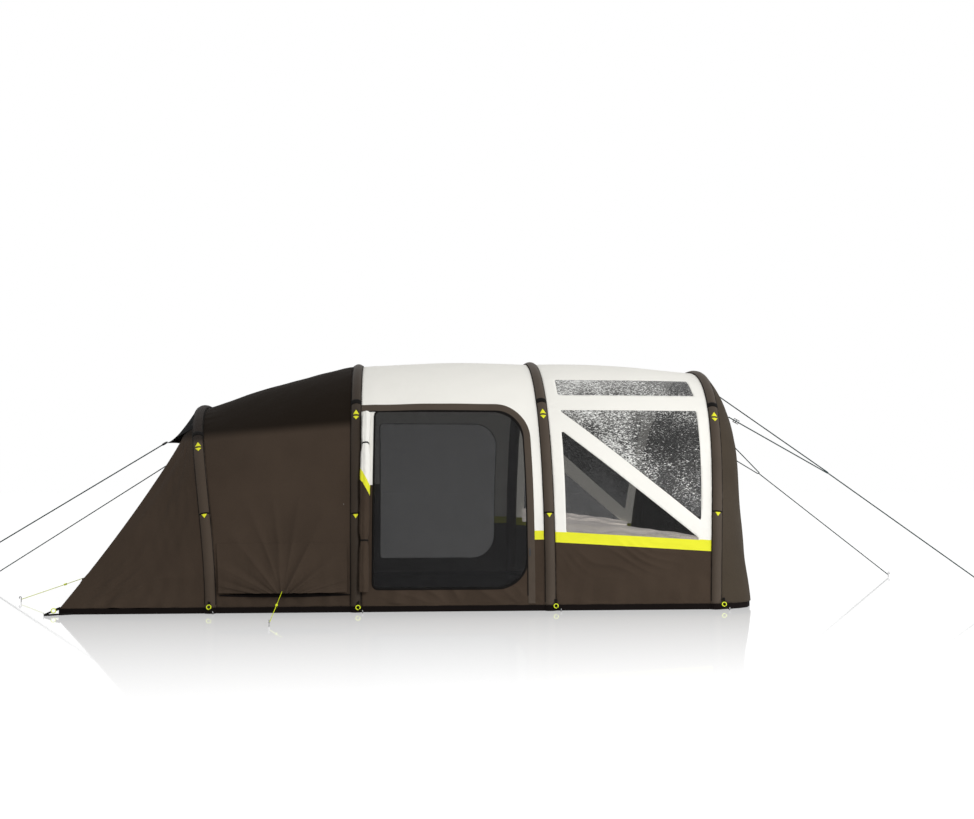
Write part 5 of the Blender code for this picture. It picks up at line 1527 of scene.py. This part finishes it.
def rearWallPoint(across, height, seed=None):
    # between the two hips; towards the eaves it takes up their line by height^3, and it is full in its middle by
    # fullness * 4 share * (1 - share) * sin(pi height); a seed adds folds
    share = (across + 1) / 2
    near = hipLine(height.ravel()).reshape(*height.shape, 3) if height.ndim > 1 else hipLine(height)
    far = flipSide(near)
    point = near * (1 - share[..., None]) + far * share[..., None]
    top = hipLine(np.array([1.0]))[0]
    chord = top * (1 - share[..., None]) + top * (1, -1, 1) * share[..., None]
    line = np.linspace(-1, 1, 161)
    eaves = np.stack([np.interp(across, line, eavesLine(line)[:, i]) for i in range(3)], -1)
    point = point + (eaves - chord) * (height**3)[..., None]
    full = 4 * share * (1 - share) * np.sin(pi * height)
    point[..., 0] -= rearEnd["fullness"] * full
    if seed:
        low = 0.010 * np.exp(-(point[..., 2] - tent["footZ"]) / 0.2) * ripple(across * 7.0, height * 2.0, seed)
        soft = 0.006 * ripple(across * 2.0, height * 1.6, seed + 1)
        point[..., 0] -= (low + soft) * np.minimum(1, (1 - np.abs(across)) * 10) * np.minimum(1, (1 - height) * 8)
    return point


def makeRearWall():
    grid = rearWallPoint(*shareGrid(220, 200, low=-1), rearEnd["seed"])
    sewPanel("rearWall", grid, ["brownCloth", "liningCloth"], "rear_wall", rearEnd["wallSize"], (-9, 0, 1))


def makeVisor():
    # the stiff hood over the rear wall, with a ripple of 0.003 * sin(pi drop)
    across, drop = shareGrid(160, 60, low=-1)
    grid = visorPoint(across, drop)
    grid[..., 2] += 0.003 * ripple(across * 3.0, drop * 1.0, 81) * np.sin(pi * drop)
    width = rearEnd["visorWidth"]
    size = (width, clothArea(grid) / width * 1.05)
    finishes, rests = ["visorCloth", "skirtCloth"], ["rearSleeve"]
    sewPanel("rearVisor", grid, finishes, "rear_visor", size, (-3, 0, 6), rests=rests, kind="visor")


def hoodFold(u, drop, seed):
    # folds that fan out from the pulled middle of the hem: crests of (1 - |sin 10 fan|)^1.4, with a fine ripple
    fan = np.arctan2(u - 0.5, 1.12 - drop)
    crest = 2 * (1 - np.abs(np.sin(fan * 10 + 0.6 + 0.8 * np.sin(fan * 4)))) ** 1.4 - 0.7
    return crest * 0.6 + ripple(fan * 3.0, drop * 0.5, seed) * 0.4


sideVent = {"seam": 0.53, "hem": 0.155, "flare": 0.03, "pull": 0.06, "clear": 0.022, "size": (1.06, 0.41)}
# painted shadow: a dark strip on the wall under the side vent hood's hem, where the hem's shadow falls
paintedHemShadow = {"rear": -1.47, "front": -0.47, "z": 0.136, "least": 0.004, "wider": 0.030, "rise": 0.012, "lift": 0.0016}


def makeSideHood(word, side, seed):
    # the hood hangs off the wall by flare * drop + pull * drop^1.6 * sin(pi u)^1.5, with folds that fan out
    facts = sideVent
    u, drop = shareGrid(150, 90)
    z = facts["seam"] + (facts["hem"] - facts["seam"]) * drop
    s = shareAt("bedroom", u, z)
    rear, front = (at(line, s) for line in bays["bedroom"]["lines"])
    x = rear[..., 0] * (1 - u) + front[..., 0] * u
    x = x + facts["clear"] * (1 - 2 * u)
    out = 0.0026 + facts["flare"] * drop + facts["pull"] * drop**1.6 * np.sin(pi * u) ** 1.5
    out = out + (0.004 + 0.014 * drop) * hoodFold(u, drop, seed) * np.sin(pi * u) ** 0.5
    grid = onWall("bedroom", side, x, z, out)
    finishes, node = ["brownCloth", "skirtCloth"], "side_vent_hood_" + word
    rests = ["bedroomCanopy"]
    sewPanel("sideVentHood_" + word, grid, finishes, node, facts["size"], outsideOf(side), "hung", rests)
    # painted shadow: a dark strip laid on the wall under the hem
    line = openLine([(paintedHemShadow["rear"], paintedHemShadow["z"]), (paintedHemShadow["front"], paintedHemShadow["z"])])
    width = paintedHemShadow["least"] + paintedHemShadow["wider"] * np.sin(pi * np.linspace(0, 1, len(line))) ** 0.7
    name, rise, lift = "ventGuard_" + word, paintedHemShadow["rise"], paintedHemShadow["lift"]
    ribbon(name, "bedroom", side, line, width, rise, "skirtCloth", "black_fabric", lift)


rearVent = {"centre": -0.85, "half": 0.42, "seam": 0.42, "hem": 0.17, "flare": 0.012, "pull": 0.085}
rearVent |= {"size": (0.86, 0.29)}


def makeRearHood():
    # off the rear wall by 0.003 + drop * (flare + pull * sin(pi (0.8 u + 0.1))), with folds that fan out
    facts = rearVent
    u, drop = shareGrid(120, 60)
    y = facts["centre"] + facts["half"] * (2 * u - 1)
    z = facts["seam"] + (facts["hem"] - facts["seam"]) * drop
    line = hipLine(np.linspace(0, 1, 200))
    height = np.interp(z, line[:, 2], np.linspace(0, 1, 200))
    across = y / np.abs(hipLine(height.ravel())[:, 1].reshape(y.shape))
    wall = rearWallPoint(across, height, rearEnd["seed"])
    normal = normalsOf(wall)
    normal = np.where((normal[..., 0] > 0)[..., None], -normal, normal)
    crown = np.sin(pi * (u * 0.8 + 0.1))
    out = 0.0030 + drop * (facts["flare"] + facts["pull"] * crown) + 0.004 * drop * hoodFold(u, drop, 91)
    grid = wall + normal * out[..., None]
    finishes = ["brownCloth", "skirtCloth"]
    sewPanel("rearVentHood", grid, finishes, "rear_vent_hood", facts["size"], (-9, 0, 1), "hung", ["rearWall"])


for number, (word, side) in enumerate(sideOf.items()):
    makeSidePanel(word, side, 51 + 10 * number)
    makeSideHood(word, side, 85 + 7 * number)
makeRearWall()
makeVisor()
makeRearHood()
print("the bedroom end is made")

# ---------- the front: wall and door ----------
frontDoor = {"half": 0.42, "sill": 0.10, "head": 1.42, "corner": 0.22, "small": 0.04, "lap": 0.012}
frontDoor |= {"before": 0.0030, "size": (0.864, 1.344)}
frontFace = {"power": 18, "ease": 13, "easeTop": 1.45, "flat": 0.75, "size": (3.5, 2.1)}


def frontGrid(scales, s):
    # the front sleeve's seam line drawn in by each scale; x swells to the flat face as 1 - scale^power,
    # where power = 18 - 13 sin(pi h) and h runs from 0 at the ground to 1 at easeTop
    edge = at(seamLine("front", 1), s)[None]
    scale = scales[:, None]
    height = np.clip((edge[..., 2] - tent["footZ"]) / (frontFace["easeTop"] - tent["footZ"]), 0, 1)
    power = frontFace["power"] - frontFace["ease"] * np.sin(pi * height)
    rise = (1 - scale**power) / (1 - frontFace["flat"] ** power)
    x = edge[..., 0] + (tent["frontX"] - edge[..., 0]) * np.minimum(rise, 1)
    return np.stack([x, edge[..., 1] * scale, tent["footZ"] + (edge[..., 2] - tent["footZ"]) * scale], -1)


def frontOutline(grow):
    # the front door's outline in Y and Z, grown on every side
    d = frontDoor
    radii = [d["small"] + grow] * 2 + [d["corner"] + grow] * 2
    return roundedOutline(rectangle(-d["half"] - grow, d["half"] + grow, d["sill"] - grow, d["head"] + grow), radii)


def frontCrease(y, z):
    # soft upright folds, deeper towards the ground
    fold = 0.005 * ripple(y * 1.3, z * 0.25, 121) + 0.0015 * ripple(y * 4.5, z * 1.2, 122)
    low = 0.008 * np.exp(-(z - tent["footZ"]) / 0.2) * ripple(y * 3.0, z * 0.6, 123)
    return fold + low


def frontPanel(name, grid, keep, body, node):
    # the front's cloth from a trimmed grid, with its lining
    panel = clothFromGrid(name, grid, ["frontCloth", "liningCloth"], None, keep, (12, 0, 1))
    return dress(thicken(panel, inner=1), body, "brown_fabric", node)


def makeFrontWall():
    # rings of the front sleeve's seam line drawn in to the middle, with upright folds that die away at the doorway
    steps = [np.linspace(1, 0.96, 14), np.linspace(0.96, 0.75, 22)[1:], np.linspace(0.75, 0.01, 90)[1:]]
    scales = np.concatenate(steps)
    s = np.linspace(0, 1, 321)
    grid = frontGrid(scales, s)
    away, _ = outlineDistance(grid[..., 1], grid[..., 2], frontOutline(0))
    free = np.minimum(1, (1 - scales[:, None]) * 12) * np.clip(away / 0.08, 0, 1)
    grid[..., 0] += free * frontCrease(grid[..., 1], grid[..., 2])
    keep = np.ones((len(scales) - 1, len(s) - 1), bool)
    grid, keep = trimGrid(grid, keep, frontOutline(0), False, 0, (1, 2))
    wall = frontPanel("frontWall", grid, keep, "tent", "front_wall")
    hangSheet(wall, frontFace["size"], clothArea(grid, keep), rests=["frontSleeve"])


def makeFrontDoor():
    # a flat leaf before the wall, full by 0.002 + 0.002 * ripple inside its edge
    y = np.linspace(-0.46, 0.46, 100)
    z = np.linspace(0.06, 1.46, 150)
    x = np.full((len(y), len(z)), tent["frontX"] + frontDoor["before"])
    grid = np.stack([x, *np.broadcast_arrays(y[:, None], z[None, :])], -1)
    away, _ = outlineDistance(grid[..., 1], grid[..., 2], frontOutline(frontDoor["lap"]))
    grid[..., 0] += np.clip(-away / 0.05, 0, 1) * (0.002 + 0.002 * ripple(y[:, None] * 2.5, z[None, :] * 0.8, 131))
    keep = np.ones((len(y) - 1, len(z) - 1), bool)
    grid, keep = trimGrid(grid, keep, frontOutline(frontDoor["lap"]), True, 0, (1, 2))
    door = frontPanel("frontDoor", grid, keep, "front_flap", "front_door")
    hangSheet(door, frontDoor["size"], clothArea(grid, keep))


makeFrontWall()
makeFrontDoor()
print("the front is made")

# ---------- the solids that stay get their finer finishes ----------
stays = {"groundsheet": "skirtCloth", "bedroom_divider": "dividerCloth"}
stays |= {"side_vent_tensioner": "neonPlastic", "rear_vent_tensioner": "neonPlastic"}
stays |= {arch + "_valve_cap": "blackPlastic" for arch in arches}
for node, finish in stays.items():
    setFinish(node, finish)

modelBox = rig.bounds()
with open("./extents.json", "w") as out:
    json.dump({"cad": [list(map(float, v)) for v in cadBox], "model": [list(map(float, v)) for v in modelBox]}, out)
